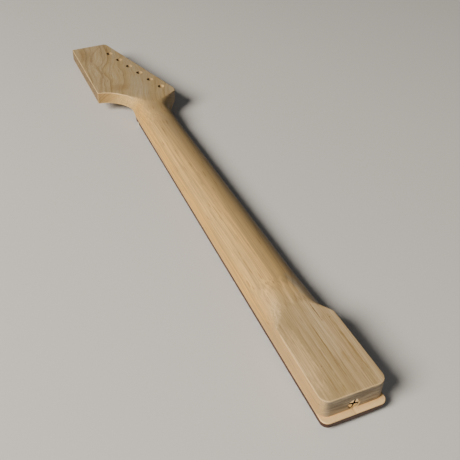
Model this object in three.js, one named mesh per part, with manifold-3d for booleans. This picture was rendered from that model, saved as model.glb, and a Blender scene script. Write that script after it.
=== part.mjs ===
// Bolt-on electric guitar neck, lying on its frets with its back up, before it is fitted to a body.
//
// Millimetres. +X is the bass side, +Y runs from the heel to the headstock and +Z is the back of the neck.
// The origin is the middle of the heel's flat back face, the face that seats in a guitar body's pocket.
import * as THREE from "three";
import { mergeVertices } from "three/addons/utils/BufferGeometryUtils.js";
import Module from "manifold-3d";

const wasm = await Module();
wasm.setup();

// Driving dimensions: the scale and the playing face
const scaleLength = 647.7;
const fretCount = 22;
const boardPastLastFret = 10;
const boardThickness = 5.8;
const boardRadius = 305;
const boardCornerRadius = 6;
const nutWidth = 42.6;
const heelWidth = 56.3;

// The heel: its block, the pocket that it seats in and the thin tongue under the overhanging board
const heelThickness = 25.4;
const pocketLength = 76;
const heelCornerRadius = 8;
const tongueLength = 5.2;
const tongueThickness = 1;

// The shaft between heel and headstock
const thicknessAtFirstFret = 20.6;
const thicknessAtTwelfthFret = 22;
const sideWall = 2;
const backFullness = 2.15;

// Where the heel's flat back ends: an arch from both sides to a tip on the middle of the back
const heelFlatLength = 78;
const heelArchLength = 35;
const heelArchSweep = 1.15;
const heelRampLength = 28;

// The headstock's outline
const topPastLastTuner = 33.9;
const headThickness = 14.5;
const trebleReach = 57.4;
const trebleFlareStart = 12;
const trebleFlareRadius = 39;
const bassReach = 37.4;
const bassFlareStart = -1;
const bassFlareRadius = 20;
const bassFlareSweepDeg = 39;
const bassCornerRadius = 14;
const bassEdgeLeanDeg = 15.9;
const topCornerRadius = 4;
const topEdgeLeanDeg = 4.2;

// Where the headstock's flat back ends towards the shaft, measured from the nut
const headArchTip = -5;
const trebleArchEnd = 39;
const bassArchEnd = 24.5;
const trebleArchSweep = 1.45;
const bassArchSweep = 1.25;
const headRampLength = 32;

// The hollow ramp from the playing face down to the headstock's face
const faceRampRadius = 20;
const boardPastNut = 12;

// Tuner holes
const tunerCount = 6;
const tunerPitch = 24.95;
const tunerLineLeanDeg = 16.5;
const tunerHoleDiameter = 8;
const firstTunerPastNut = 41.5;
const firstTunerOffCentre = 23.5;

// Frets
const fretCrownWidth = 2.6;
const fretCrownHeight = 1.1;
const fretTangThickness = 0.5;
const fretTangDepth = 1.7;
const fretEndInset = 0.25;
const fretEndBevelDeg = 35;
const fretCrownShares = [1, 0.6, 0, -0.6, -1];
const fretSlotClearance = 0.1;
const fretSeatGap = 0.06;

// String nut
const nutThickness = 3.2;
const nutSeatDepth = 3.2;
const nutStandProud = 2.5;
const nutClearance = 0.1;
const nutEndInset = 0.2;
const stringSpread = 35.4;
const stringGauges = [0.28, 0.36, 0.46, 0.7, 0.95, 1.2];
const stringSlotClearance = 0.15;
const stringSlotDepth = 1.1;
const stringSlotTiltDeg = 7;

// Position markers
const singleMarkerFrets = [3, 5, 7, 9, 15, 17, 19, 21];
const octaveFret = 12;
const faceDotDiameter = 6.35;
const faceDotThickness = 1.6;
const octaveDotSpacing = 23;
const sideDotDiameter = 2;
const sideDotLength = 2.6;
const sideDotPairSpacing = 6;
const dotClearance = 0.15;
const dotRecess = 0.03;

// Truss rod: a single rod in a curved channel, adjusted by a cross-slotted nut at the heel
const rodDiameter = 4.8;
const rodAboveFace = 11.7;
const rodBow = 3;
const rodClearance = 0.3;
const adjusterDiameter = 9.5;
const adjusterLength = 14;
const adjusterRecess = 0.7;
const adjusterBoreDiameter = 10.4;
const adjusterRimChamfer = 0.5;
const crossSlotWidth = 1.7;
const crossSlotDepth = 2.6;
const crossSlotTurnDeg = 15;
const adjusterWeb = 1.6;
const threadEndGap = 1;
const washerThickness = 1.6;
const washerDiameter = 9.4;
const seatGap = 0.3;
const glueGap = 0.1;
const anchorDiameter = 10;
const anchorHeight = 9;
const anchorBeforeNut = 14;
const anchorWall = 1.6;

// How finely curves are stepped, and how far a cutter runs past what it cuts
const overrun = 1;
const arcSteps = 4;
const flankSteps = 7;
const crownSteps = 4;
const faceFacets = 7;
const flankTopDeg = 75;
const holeSides = 24;
const dotSides = 16;
const smallSides = 12;
const rodSides = 10;
const rodSteps = 26;
const weld = 1e-4;
const leastStationGap = 0.1;

const radians = THREE.MathUtils.degToRad;
const { lerp, smoothstep } = THREE.MathUtils;

// Places along the neck and heights, all worked out from the sizes above
const yHeelEnd = -pocketLength / 2;
const yBoardEnd = yHeelEnd - tongueLength;
const fretDistance = (n) => scaleLength * (1 - 2 ** (-n / 12));
const yNut = yBoardEnd + boardPastLastFret + fretDistance(fretCount);
const fretY = (n) => yNut - fretDistance(n);
const zFace = -heelThickness;
const zGlue = zFace + boardThickness;
const zHeadFace = -headThickness;
const zRodEnd = zFace + rodAboveFace;
const boardLength = yNut - yBoardEnd;
const halfWidthAt = (y) => lerp(heelWidth, nutWidth, (y - yBoardEnd) / boardLength) / 2;
const faceDropAt = (x) => boardRadius - Math.sqrt(boardRadius ** 2 - x ** 2);

// The playing face as an odd number of strips across the neck, the middle one level
const facetShares = Array.from({ length: faceFacets + 1 }, (_, i) => (2 * i) / faceFacets - 1);
const facetDrop = (share, halfWidth) => faceDropAt(share * halfWidth) - faceDropAt(halfWidth / faceFacets);

// Solids and meshes

// A closed geometry as a solid that can be cut and joined
function solidOf(geometry) {
  const bare = geometry.clone();
  bare.deleteAttribute("normal");
  bare.deleteAttribute("uv");
  const merged = mergeVertices(bare, weld);
  return new wasm.Manifold(
    new wasm.Mesh({
      numProp: 3,
      vertProperties: merged.attributes.position.array,
      triVerts: new Uint32Array(merged.index.array),
    }),
  );
}

// A solid as a geometry for a mesh
function geometryOf(solid) {
  const mesh = solid.getMesh();
  const positions = new Float32Array(mesh.numVert * 3);
  for (let i = 0; i < mesh.numVert; i++) {
    positions.set(mesh.vertProperties.subarray(i * mesh.numProp, i * mesh.numProp + 3), i * 3);
  }
  const geometry = new THREE.BufferGeometry();
  geometry.setAttribute("position", new THREE.BufferAttribute(positions, 3));
  geometry.setIndex(new THREE.BufferAttribute(mesh.triVerts, 1));
  geometry.computeVertexNormals();
  return geometry;
}

// A closed skin over rings of equal length, with a flat cap on its first and last ring.
// capAxes names the two coordinates in which the caps are seen in their true shape.
function loft(rings, capAxes) {
  const count = rings[0].length;
  const positions = rings.flat(2);
  const faces = [];
  for (let r = 0; r + 1 < rings.length; r++) {
    for (let i = 0; i < count; i++) {
      const j = (i + 1) % count;
      const a = r * count + i;
      const b = r * count + j;
      const c = a + count;
      const d = b + count;
      faces.push([a, b, d], [a, d, c]);
    }
  }
  const cap = (ring) => {
    const flat = ring.map((p) => new THREE.Vector2(p[capAxes[0]], p[capAxes[1]]));
    const clockwise = THREE.ShapeUtils.isClockWise(flat);
    const order = ring.map((_, i) => (clockwise ? count - 1 - i : i));
    const triangles = THREE.ShapeUtils.triangulateShape(order.map((i) => flat[i]), []);
    const corners = triangles.map((triangle) => triangle.map((i) => order[i]));
    return clockwise ? corners.map((triangle) => triangle.toReversed()) : corners;
  };
  const last = (rings.length - 1) * count;
  for (const t of cap(rings[0])) faces.push([t[2], t[1], t[0]]);
  for (const t of cap(rings.at(-1))) faces.push([last + t[0], last + t[1], last + t[2]]);
  const point = (i) => new THREE.Vector3().fromArray(positions, i * 3);
  const volume = faces.reduce((sum, [a, b, c]) => sum + point(a).dot(point(b).cross(point(c))), 0);
  const outward = volume < 0 ? faces.map(([a, b, c]) => [a, c, b]) : faces;
  const geometry = new THREE.BufferGeometry();
  geometry.setAttribute("position", new THREE.Float32BufferAttribute(positions, 3));
  geometry.setIndex(outward.flat());
  return geometry;
}

// An outline drawn in Y and Z, pulled out along X to a given width about the centre line
function sideExtrusion(points, width) {
  const shape = new THREE.Shape(points.map(([y, z]) => new THREE.Vector2(y, z)));
  const geometry = new THREE.ExtrudeGeometry(shape, { depth: width, bevelEnabled: false });
  geometry.translate(0, 0, -width / 2);
  const alongX = new THREE.Matrix4().makeBasis(
    new THREE.Vector3(0, 1, 0),
    new THREE.Vector3(0, 0, 1),
    new THREE.Vector3(1, 0, 0),
  );
  return geometry.applyMatrix4(alongX);
}

// Cylinders along the three axes: from and to are places on that axis
function cylinderY(diameter, from, to, x, z, sides) {
  const geometry = new THREE.CylinderGeometry(diameter / 2, diameter / 2, to - from, sides);
  return geometry.translate(x, (from + to) / 2, z);
}
function cylinderZ(diameter, from, to, x, y, sides) {
  const geometry = new THREE.CylinderGeometry(diameter / 2, diameter / 2, to - from, sides);
  return geometry.rotateX(Math.PI / 2).translate(x, y, (from + to) / 2);
}
function cylinderX(diameter, from, to, y, z, sides) {
  const geometry = new THREE.CylinderGeometry(diameter / 2, diameter / 2, to - from, sides);
  return geometry.rotateZ(Math.PI / 2).translate((from + to) / 2, y, z);
}

// A solid less every one of a list of geometries
function cutAll(solid, cutters) {
  return cutters.reduce((left, geometry) => left.subtract(solidOf(geometry)), solid);
}

// The neck's outline, as the treble and bass edge at any place along it

const yTrebleFlare = yNut + trebleFlareStart;
const trebleFlareFoot = halfWidthAt(yTrebleFlare);
const trebleFlareSweep = Math.acos((trebleFlareRadius + trebleFlareFoot - trebleReach) / trebleFlareRadius);
const yTreblePoint = yTrebleFlare + trebleFlareRadius * Math.sin(trebleFlareSweep);

function trebleEdge(y) {
  if (y <= yTrebleFlare) return -halfWidthAt(y);
  if (y >= yTreblePoint) return -trebleReach;
  return -trebleFlareFoot - trebleFlareRadius + Math.sqrt(trebleFlareRadius ** 2 - (y - yTrebleFlare) ** 2);
}

const yBassFlare = yNut + bassFlareStart;
const bassSweep = radians(bassFlareSweepDeg);
const bassLean = radians(bassEdgeLeanDeg);
const bassFlareFoot = halfWidthAt(yBassFlare);
const flareEnd = {
  x: bassFlareFoot + bassFlareRadius * (1 - Math.cos(bassSweep)),
  y: yBassFlare + bassFlareRadius * Math.sin(bassSweep),
};
const bassCornerX = bassReach - bassCornerRadius;
const cornerStartX = bassCornerX + bassCornerRadius * Math.cos(bassSweep);
const cornerStartY = flareEnd.y + (cornerStartX - flareEnd.x) / Math.tan(bassSweep);
const bassCornerY = cornerStartY + bassCornerRadius * Math.sin(bassSweep);
const cornerEnd = {
  x: bassCornerX + bassCornerRadius * Math.cos(bassLean),
  y: bassCornerY + bassCornerRadius * Math.sin(bassLean),
};

function bassEdge(y) {
  if (y <= yBassFlare) return halfWidthAt(y);
  if (y <= flareEnd.y) {
    return bassFlareFoot + bassFlareRadius - Math.sqrt(bassFlareRadius ** 2 - (y - yBassFlare) ** 2);
  }
  if (y <= cornerStartY) return flareEnd.x + (y - flareEnd.y) * Math.tan(bassSweep);
  if (y <= cornerEnd.y) return bassCornerX + Math.sqrt(bassCornerRadius ** 2 - (y - bassCornerY) ** 2);
  return cornerEnd.x - (y - cornerEnd.y) * Math.tan(bassLean);
}

// Places of the tuner holes, in a line that leans towards the treble side
const tunerPlaces = Array.from({ length: tunerCount }, (_, i) => ({
  x: firstTunerOffCentre - i * tunerPitch * Math.sin(radians(tunerLineLeanDeg)),
  y: yNut + firstTunerPastNut + i * tunerPitch * Math.cos(radians(tunerLineLeanDeg)),
}));

// The top of the headstock: its two edges meet at a sharp treble tip and a rounded bass tip
const yTop = tunerPlaces.at(-1).y + topPastLastTuner;
const topLean = radians(topEdgeLeanDeg);
const bassTip = { x: bassEdge(yTop), y: yTop };
const trebleTip = { x: -trebleReach, y: yTop - (bassTip.x + trebleReach) * Math.tan(topLean) };
const tipTurn = Math.PI / 2 - bassLean + topLean;
const tipReach = topCornerRadius * Math.tan(tipTurn / 2);
const yTipStart = yTop - tipReach * Math.cos(bassLean);
const tipCentre = {
  x: bassEdge(yTipStart) - topCornerRadius * Math.cos(bassLean),
  y: yTipStart - topCornerRadius * Math.sin(bassLean),
};

// Heights of the front and the back

const faceRise = zHeadFace - zGlue;
const yRampStart = yNut + boardPastNut;
const yRampEnd = yRampStart + Math.sqrt(2 * faceRampRadius * faceRise - faceRise ** 2);
const zRampCentre = zHeadFace - faceRampRadius;

function frontHeight(y) {
  if (y <= yRampStart) return zGlue;
  if (y >= yRampEnd) return zHeadFace;
  return zRampCentre + Math.sqrt(faceRampRadius ** 2 - (y - yRampEnd) ** 2);
}

const yHeelArch = yHeelEnd + heelFlatLength;
const yHeelArchTip = yHeelArch + heelArchLength;
const yHeadArchTip = yNut + headArchTip;
const yTrebleArch = yNut + trebleArchEnd;
const yBassArch = yNut + bassArchEnd;

// The share of the half width that is flat at the back: 1 where the whole width is, 0 on the shaft
function flatShare(y, yFull, yTip, sweep) {
  const along = (y - yFull) / (yTip - yFull);
  if (along <= 0) return 1;
  return along >= 1 ? 0 : 1 - along ** sweep;
}

// The shaft's own back line, rising to the flats at both ends
function crestHeight(y) {
  const atFirst = zFace + thicknessAtFirstFret;
  const atOctave = zFace + thicknessAtTwelfthFret;
  const shaft = lerp(atFirst, atOctave, (y - fretY(1)) / (fretY(octaveFret) - fretY(1)));
  const fromHeel = 1 - smoothstep(y, yHeelArchTip, yHeelArchTip + heelRampLength);
  const fromHead = smoothstep(y, yHeadArchTip - headRampLength, yHeadArchTip);
  return shaft * (1 - fromHeel) * (1 - fromHead);
}

// The unclipped crown of the back on one side of the middle, which the flats then cut at height 0
function crownHeight(y, zSide, yHeadArch, headSweep) {
  const share =
    y < yHeelArchTip
      ? flatShare(y, yHeelArch, yHeelArchTip, heelArchSweep)
      : flatShare(y, yHeadArch, yHeadArchTip, headSweep);
  if (share >= 1) return Infinity;
  if (share <= 0) return crestHeight(y);
  return zSide - zSide / (1 - share ** backFullness) ** (1 / backFullness);
}

// The back's height at a share of the half width, for a crown of that height
function backHeight(share, zSide, crown) {
  if (crown === Infinity) return 0;
  const rise = (1 - Math.abs(share) ** backFullness) ** (1 / backFullness);
  return Math.min(0, zSide + (crown - zSide) * rise);
}

// One side of a section, from the side wall up to where the crown's own points begin,
// as pairs of a share of the half width and a height
function flank(zSide, crown) {
  const power = 2 / backFullness;
  if (crown === Infinity) {
    return Array.from({ length: flankSteps + 1 }, (_, i) => [1, lerp(zSide, 0, i / flankSteps)]);
  }
  const clip = Math.min(1, -zSide / (crown - zSide));
  const top = Math.min(Math.asin(clip ** (1 / power)), radians(flankTopDeg));
  return Array.from({ length: flankSteps + 1 }, (_, i) => {
    const turn = (top * i) / flankSteps;
    return [Math.cos(turn) ** power, zSide + (crown - zSide) * Math.sin(turn) ** power];
  });
}

// A section of the neck between a treble and a bass point of its outline
function section(treble, bass) {
  const place = (share, z) => {
    const t = (share + 1) / 2;
    return [lerp(treble[0], bass[0], t), lerp(treble[1], bass[1], t), z];
  };
  const sides = {
    treble: { z: frontHeight(treble[1]) + sideWall, y: treble[1], arch: yTrebleArch, sweep: trebleArchSweep },
    bass: { z: frontHeight(bass[1]) + sideWall, y: bass[1], arch: yBassArch, sweep: bassArchSweep },
  };
  for (const side of Object.values(sides)) {
    side.crown = crownHeight(side.y, side.z, side.arch, side.sweep);
    side.flank = flank(side.z, side.crown);
  }
  const bassTop = sides.bass.flank.at(-1)[0];
  const trebleTop = -sides.treble.flank.at(-1)[0];
  const crown = [];
  for (let i = 1; i < crownSteps; i++) {
    const share = lerp(bassTop, trebleTop, i / crownSteps);
    const side = share > 0 ? sides.bass : sides.treble;
    crown.push(place(share, backHeight(share, side.z, side.crown)));
  }
  return [
    place(-1, frontHeight(treble[1])),
    place(1, frontHeight(bass[1])),
    ...sides.bass.flank.map(([share, z]) => place(share, z)),
    ...crown,
    ...sides.treble.flank.map(([share, z]) => place(-share, z)).reverse(),
  ];
}

// Stations of the neck: pairs of treble and bass points, from the heel's end to the headstock's top
function neckStations() {
  const heelCorner = Array.from({ length: arcSteps + 1 }, (_, i) => {
    const turn = (Math.PI / 2) * (i / arcSteps);
    const y = yHeelEnd + heelCornerRadius * (1 - Math.cos(turn));
    const x = halfWidthAt(yHeelEnd + heelCornerRadius) - heelCornerRadius * (1 - Math.sin(turn));
    return [[-x, y], [x, y]];
  });
  const between = (from, to, steps) => Array.from({ length: steps + 1 }, (_, i) => lerp(from, to, i / steps));
  const along = [
    ...between(yHeelArch, yHeelArchTip, 2 * arcSteps),
    ...between(yHeelArchTip, yHeelArchTip + heelRampLength, arcSteps),
    ...between(yHeelArchTip + heelRampLength, yHeadArchTip - headRampLength, arcSteps),
    ...between(yHeadArchTip - headRampLength, yHeadArchTip, arcSteps),
    ...between(yHeadArchTip, yBassFlare, 1),
    ...between(0, bassSweep, arcSteps).map((a) => yBassFlare + bassFlareRadius * Math.sin(a)),
    ...between(-bassSweep, bassLean, arcSteps).map((a) => bassCornerY + bassCornerRadius * Math.sin(a)),
    ...between(0, trebleFlareSweep, 2 * arcSteps).map((a) => yTrebleFlare + trebleFlareRadius * Math.sin(a)),
    ...between(yRampStart, yRampEnd, arcSteps),
    yBassArch,
    yTrebleArch,
  ];
  const sorted = along.filter((y) => y <= yTreblePoint).sort((a, b) => a - b);
  const kept = sorted.filter((y, i) => i === 0 || y - sorted[i - 1] > leastStationGap);
  const body = kept.map((y) => [[trebleEdge(y), y], [bassEdge(y), y]]);
  const yBelowTip = trebleTip.y - tipReach;
  const plate = between(0, 1, arcSteps).slice(1).map((u) => {
    const yBass = lerp(yTreblePoint, yTipStart, u);
    return [[-trebleReach, lerp(yTreblePoint, yBelowTip, u)], [bassEdge(yBass), yBass]];
  });
  const tip = between(0, 1, arcSteps).slice(1).map((u) => {
    const turn = bassLean + tipTurn * u;
    const x = tipCentre.x + topCornerRadius * Math.cos(turn);
    const y = tipCentre.y + topCornerRadius * Math.sin(turn);
    return [[-trebleReach, lerp(yBelowTip, trebleTip.y, u)], [x, y]];
  });
  return [...heelCorner, ...body, ...plate, ...tip];
}

// The plan of the board's heel end, which the maple tongue under it follows
function heelPlan(yInner) {
  const corner = halfWidthAt(yBoardEnd + boardCornerRadius) - boardCornerRadius;
  const shape = new THREE.Shape();
  shape.moveTo(-halfWidthAt(yInner), yInner);
  shape.lineTo(-halfWidthAt(yBoardEnd + boardCornerRadius), yBoardEnd + boardCornerRadius);
  shape.absarc(-corner, yBoardEnd + boardCornerRadius, boardCornerRadius, Math.PI, 1.5 * Math.PI, false);
  shape.absarc(corner, yBoardEnd + boardCornerRadius, boardCornerRadius, 1.5 * Math.PI, 2 * Math.PI, false);
  shape.lineTo(halfWidthAt(yInner), yInner);
  return shape;
}

// Truss rod places: the rod is straight in the adjuster's bore and bows towards the back in between
const yAdjusterFace = yHeelEnd + adjusterRecess;
const yAdjusterEnd = yAdjusterFace + adjusterLength;
const yWasher = yAdjusterEnd + seatGap;
const yBoreEnd = yWasher + washerThickness + seatGap;
const yRodStart = yAdjusterFace + crossSlotDepth + adjusterWeb + threadEndGap;
const yAnchor = yNut - anchorBeforeNut;
const yRodEnd = yAnchor + anchorDiameter / 2 - anchorWall - seatGap;
const channelWidth = rodDiameter + 2 * rodClearance;

function rodHeight(y) {
  const along = THREE.MathUtils.clamp((y - yBoreEnd) / (yAnchor - yBoreEnd), 0, 1);
  return zRodEnd + rodBow * Math.sin(Math.PI * along) ** 2;
}

const channelPlaces = Array.from({ length: rodSteps + 1 }, (_, i) => lerp(yBoreEnd, yAnchor, i / rodSteps));

function neckBlank() {
  const blank = solidOf(loft(neckStations().map(([treble, bass]) => section(treble, bass)), [0, 2]));
  const tongue = new THREE.ExtrudeGeometry(heelPlan(yHeelEnd + 2 * heelCornerRadius), {
    depth: tongueThickness,
    bevelEnabled: false,
    curveSegments: arcSteps,
  }).translate(0, 0, zGlue);
  const floor = channelPlaces.map((y) => [y, rodHeight(y) + rodDiameter / 2 + rodClearance]);
  const channel = [[yBoreEnd, zGlue - overrun], ...floor, [yAnchor, zGlue - overrun]];
  const joined = blank.add(solidOf(tongue));
  return cutAll(joined, [
    ...tunerPlaces.map(({ x, y }) =>
      cylinderZ(tunerHoleDiameter, zHeadFace - overrun, overrun, x, y, holeSides),
    ),
    cylinderY(adjusterBoreDiameter, yBoardEnd - overrun, yBoreEnd, 0, zRodEnd, holeSides),
    cylinderY(channelWidth, yBoreEnd - overrun, yBoreEnd + overrun, 0, zRodEnd, holeSides),
    sideExtrusion(channel, channelWidth),
    cylinderZ(
      anchorDiameter + 2 * rodClearance,
      zGlue - overrun,
      zGlue + anchorHeight + 2 * seatGap,
      0,
      yAnchor,
      holeSides,
    ),
  ]);
}

// Fingerboard

// A section of the board across the neck at one place: a flat glued side and a round playing face
function boardSection(halfWidth, y) {
  const face = facetShares.map((share) => [halfWidth * share, y, zFace + facetDrop(share, halfWidth)]);
  return [[halfWidth, y, zGlue], [-halfWidth, y, zGlue], ...face];
}

// A bar that follows the playing face across the neck. Its profile is pairs of a distance along the neck
// and a height out of the face, and both ends lean inwards by the bevel as they rise.
function barOnFace(profile, y, halfWidth, bevel) {
  const rings = facetShares.map((share) => {
    const atEnd = Math.abs(share) === 1 ? Math.sign(share) : 0;
    return profile.map(([dy, out]) => {
      const lean = atEnd * Math.max(0, out) * Math.tan(bevel);
      return [halfWidth * share - lean, y + dy, zFace + facetDrop(share, halfWidth) - out];
    });
  });
  return loft(rings, [1, 2]);
}

const slotWidth = fretTangThickness + 2 * fretSlotClearance;
const slotDepth = fretTangDepth + fretSlotClearance;
const octaveMarker = (sign, side) => ({
  fret: octaveFret,
  x: (sign * octaveDotSpacing) / 2,
  along: (sign * sideDotPairSpacing) / 2,
  name: `${octaveFret}_${side}`,
});
const markers = [
  ...singleMarkerFrets.map((n) => ({ fret: n, x: 0, along: 0, name: `${n}` })),
  octaveMarker(-1, "treble"),
  octaveMarker(1, "bass"),
].filter(({ fret }) => fret <= fretCount);
const markerY = (fret) => (fretY(fret) + fretY(fret - 1)) / 2;

// A face dot's disc or pocket, square to the playing face at its place
function faceDot(marker, diameter, sink, depth) {
  const geometry = new THREE.CylinderGeometry(diameter / 2, diameter / 2, depth, dotSides);
  geometry.rotateX(Math.PI / 2).translate(0, 0, sink + depth / 2 - boardRadius);
  geometry.rotateY(Math.asin(marker.x / boardRadius));
  return geometry.translate(0, markerY(marker.fret), zFace + boardRadius);
}

// A side dot's peg or hole, set into the bass edge half way up it
function sideDot(marker, diameter, from, depth) {
  const y = markerY(marker.fret) + marker.along;
  const edge = halfWidthAt(y);
  const z = (zGlue + zFace + faceDropAt(edge)) / 2;
  return cylinderX(diameter, edge - depth, edge - from, y, z, smallSides);
}

function fingerboard() {
  const corner = Array.from({ length: arcSteps + 1 }, (_, i) => {
    const turn = (Math.PI / 2) * (i / arcSteps);
    const y = yBoardEnd + boardCornerRadius * (1 - Math.cos(turn));
    const side = halfWidthAt(yBoardEnd + boardCornerRadius);
    return boardSection(side - boardCornerRadius * (1 - Math.sin(turn)), y);
  });
  const pastNut = yRampStart + overrun;
  const plain = solidOf(loft([...corner, boardSection(halfWidthAt(pastNut), pastNut)], [0, 2]));
  const slotProfile = [
    [-slotWidth / 2, overrun],
    [slotWidth / 2, overrun],
    [slotWidth / 2, -slotDepth],
    [-slotWidth / 2, -slotDepth],
  ];
  const slots = Array.from({ length: fretCount }, (_, i) => {
    const y = fretY(i + 1);
    return barOnFace(slotProfile, y, halfWidthAt(y) + overrun, 0);
  });
  const nutSlot = sideExtrusion(
    [
      [yNut - nutClearance, zFace - overrun],
      [yNut + nutThickness + nutClearance, zFace - overrun],
      [yNut + nutThickness + nutClearance, zFace + nutSeatDepth],
      [yNut - nutClearance, zFace + nutSeatDepth],
    ],
    nutWidth + 2 * overrun,
  );
  const faceDotPocket = faceDotDiameter + 2 * dotClearance;
  const faceDotCut = overrun + faceDotThickness + 2 * dotClearance;
  const sideDotPocket = sideDotDiameter + 2 * dotClearance;
  const sideDotCut = sideDotLength + 2 * dotClearance;
  return cutAll(plain, [
    ...slots,
    nutSlot,
    cylinderX(2 * faceRampRadius, -heelWidth / 2, heelWidth / 2, yRampEnd, zRampCentre, 2 * holeSides),
    ...markers.map((marker) => faceDot(marker, faceDotPocket, -overrun, faceDotCut)),
    ...markers.map((marker) => sideDot(marker, sideDotPocket, -overrun, sideDotCut)),
  ]);
}

// A fret: a round crown on a thin tang
function fret(n) {
  const half = fretCrownWidth / 2;
  const crown = fretCrownShares.map((share) => [
    half * share,
    fretSeatGap + (fretCrownHeight - fretSeatGap) * Math.sqrt(1 - share ** 2),
  ]);
  const profile = [
    ...crown,
    [-fretTangThickness / 2, fretSeatGap],
    [-fretTangThickness / 2, -fretTangDepth],
    [fretTangThickness / 2, -fretTangDepth],
    [fretTangThickness / 2, fretSeatGap],
  ];
  const y = fretY(n);
  return barOnFace(profile, y, halfWidthAt(y) - fretEndInset, radians(fretEndBevelDeg));
}

// The string nut: a bar in its slot, rounded over towards the headstock, with a notch for each string
function stringNut() {
  const zSeat = zFace + nutSeatDepth - nutClearance;
  const half = nutWidth / 2 - nutEndInset;
  const rings = facetShares.map((share) => {
    const x = half * share;
    const zTop = zFace + facetDrop(share, half) - nutStandProud;
    const back = nutThickness;
    return [
      [x, yNut, zSeat],
      [x, yNut, zTop],
      [x, yNut + back / 2, zTop],
      [x, yNut + back, zTop + back / 2],
      [x, yNut + back, zSeat],
    ];
  });
  const notches = stringGauges.map((gauge, i) => {
    const x = stringSpread * (i / (stringGauges.length - 1) - 1 / 2);
    const width = gauge + 2 * stringSlotClearance;
    const zTop = zFace + faceDropAt(x) - nutStandProud;
    const cutter = new THREE.BoxGeometry(width, nutThickness + 2 * overrun, stringSlotDepth + overrun);
    cutter.rotateX(radians(-stringSlotTiltDeg));
    return cutter.translate(x, yNut + nutThickness / 2, zTop + (stringSlotDepth - overrun) / 2);
  });
  return cutAll(solidOf(loft(rings, [1, 2])), notches);
}

// Truss rod pieces

function trussRod() {
  const points = [[yRodStart, zRodEnd], ...channelPlaces.map((y) => [y, rodHeight(y)]), [yRodEnd, zRodEnd]];
  const path = new THREE.CatmullRomCurve3(points.map(([y, z]) => new THREE.Vector3(0, y, z)));
  const round = Array.from({ length: rodSides }, (_, i) => {
    const turn = (2 * Math.PI * i) / rodSides;
    return new THREE.Vector2((rodDiameter / 2) * Math.cos(turn), (rodDiameter / 2) * Math.sin(turn));
  });
  const along = { steps: rodSteps, extrudePath: path, bevelEnabled: false };
  return solidOf(new THREE.ExtrudeGeometry(new THREE.Shape(round), along));
}

// The maple strip that closes the channel between the rod and the board
function channelFillet() {
  const under = (y) => rodHeight(y) - rodDiameter / 2 - seatGap;
  const inner = channelPlaces.filter((y) => y < yAnchor - anchorDiameter / 2 - rodClearance - seatGap);
  const last = yAnchor - anchorDiameter / 2 - rodClearance - seatGap;
  const start = yBoreEnd + seatGap;
  const curve = [start, ...inner.slice(1), last].map((y) => [y, under(y)]);
  const outline = [[start, zGlue + glueGap], ...curve, [last, zGlue + glueGap]];
  return solidOf(sideExtrusion(outline, channelWidth - seatGap));
}

// The barrel at the nut end that the rod screws into
function rodAnchor() {
  const zLow = zGlue + seatGap;
  const barrel = solidOf(cylinderZ(anchorDiameter, zLow, zLow + anchorHeight, 0, yAnchor, holeSides));
  const hole = cylinderY(
    rodDiameter + 2 * rodClearance,
    yAnchor - anchorDiameter,
    yRodEnd + seatGap,
    0,
    zRodEnd,
    smallSides,
  );
  return cutAll(barrel, [hole]);
}

function washer() {
  const disc = solidOf(cylinderY(washerDiameter, yWasher, yWasher + washerThickness, 0, zRodEnd, holeSides));
  const hole = cylinderY(
    rodDiameter + 2 * rodClearance,
    yWasher - overrun,
    yWasher + washerThickness + overrun,
    0,
    zRodEnd,
    smallSides,
  );
  return cutAll(disc, [hole]);
}

// The adjuster: a round nut with a crossed slot in its outer end and the rod's thread in its inner end
function adjuster() {
  const radius = adjusterDiameter / 2;
  const profile = [
    [0, 0],
    [radius - adjusterRimChamfer, 0],
    [radius, adjusterRimChamfer],
    [radius, adjusterLength],
    [0, adjusterLength],
  ].map(([r, y]) => new THREE.Vector2(r, y));
  const body = new THREE.LatheGeometry(profile, holeSides).translate(0, yAdjusterFace, zRodEnd);
  const slotLength = adjusterDiameter + overrun;
  const slots = [0, Math.PI / 2].map((turn) => {
    const cutter = new THREE.BoxGeometry(slotLength, crossSlotDepth + overrun, crossSlotWidth);
    cutter.rotateY(radians(crossSlotTurnDeg) + turn);
    return cutter.translate(0, yAdjusterFace + (crossSlotDepth - overrun) / 2, zRodEnd);
  });
  const thread = cylinderY(
    rodDiameter + 2 * rodClearance,
    yRodStart - threadEndGap,
    yAdjusterEnd + overrun,
    0,
    zRodEnd,
    smallSides,
  );
  return cutAll(solidOf(body), [...slots, thread]);
}

// Colours from the bare maple, the dark board, and usual fretwork metals and plastics
function finish(color, roughness, metalness) {
  return new THREE.MeshStandardMaterial({ color, roughness, metalness });
}
const maple = finish("#cdb48b", 0.6, 0);
const rosewood = finish("#3b211b", 0.55, 0);
const nickelSilver = finish("#c9c6bd", 0.28, 1);
const bone = finish("#e9e2cc", 0.4, 0);
const pearl = finish("#e6e6df", 0.3, 0);
const plainSteel = finish("#8d8f92", 0.4, 1);
const nickelPlate = finish("#d2cfc6", 0.25, 1);

const neck = new THREE.Group();

function add(name, solid, material) {
  const mesh = new THREE.Mesh(geometryOf(solid), material);
  mesh.name = name;
  neck.add(mesh);
}

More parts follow.
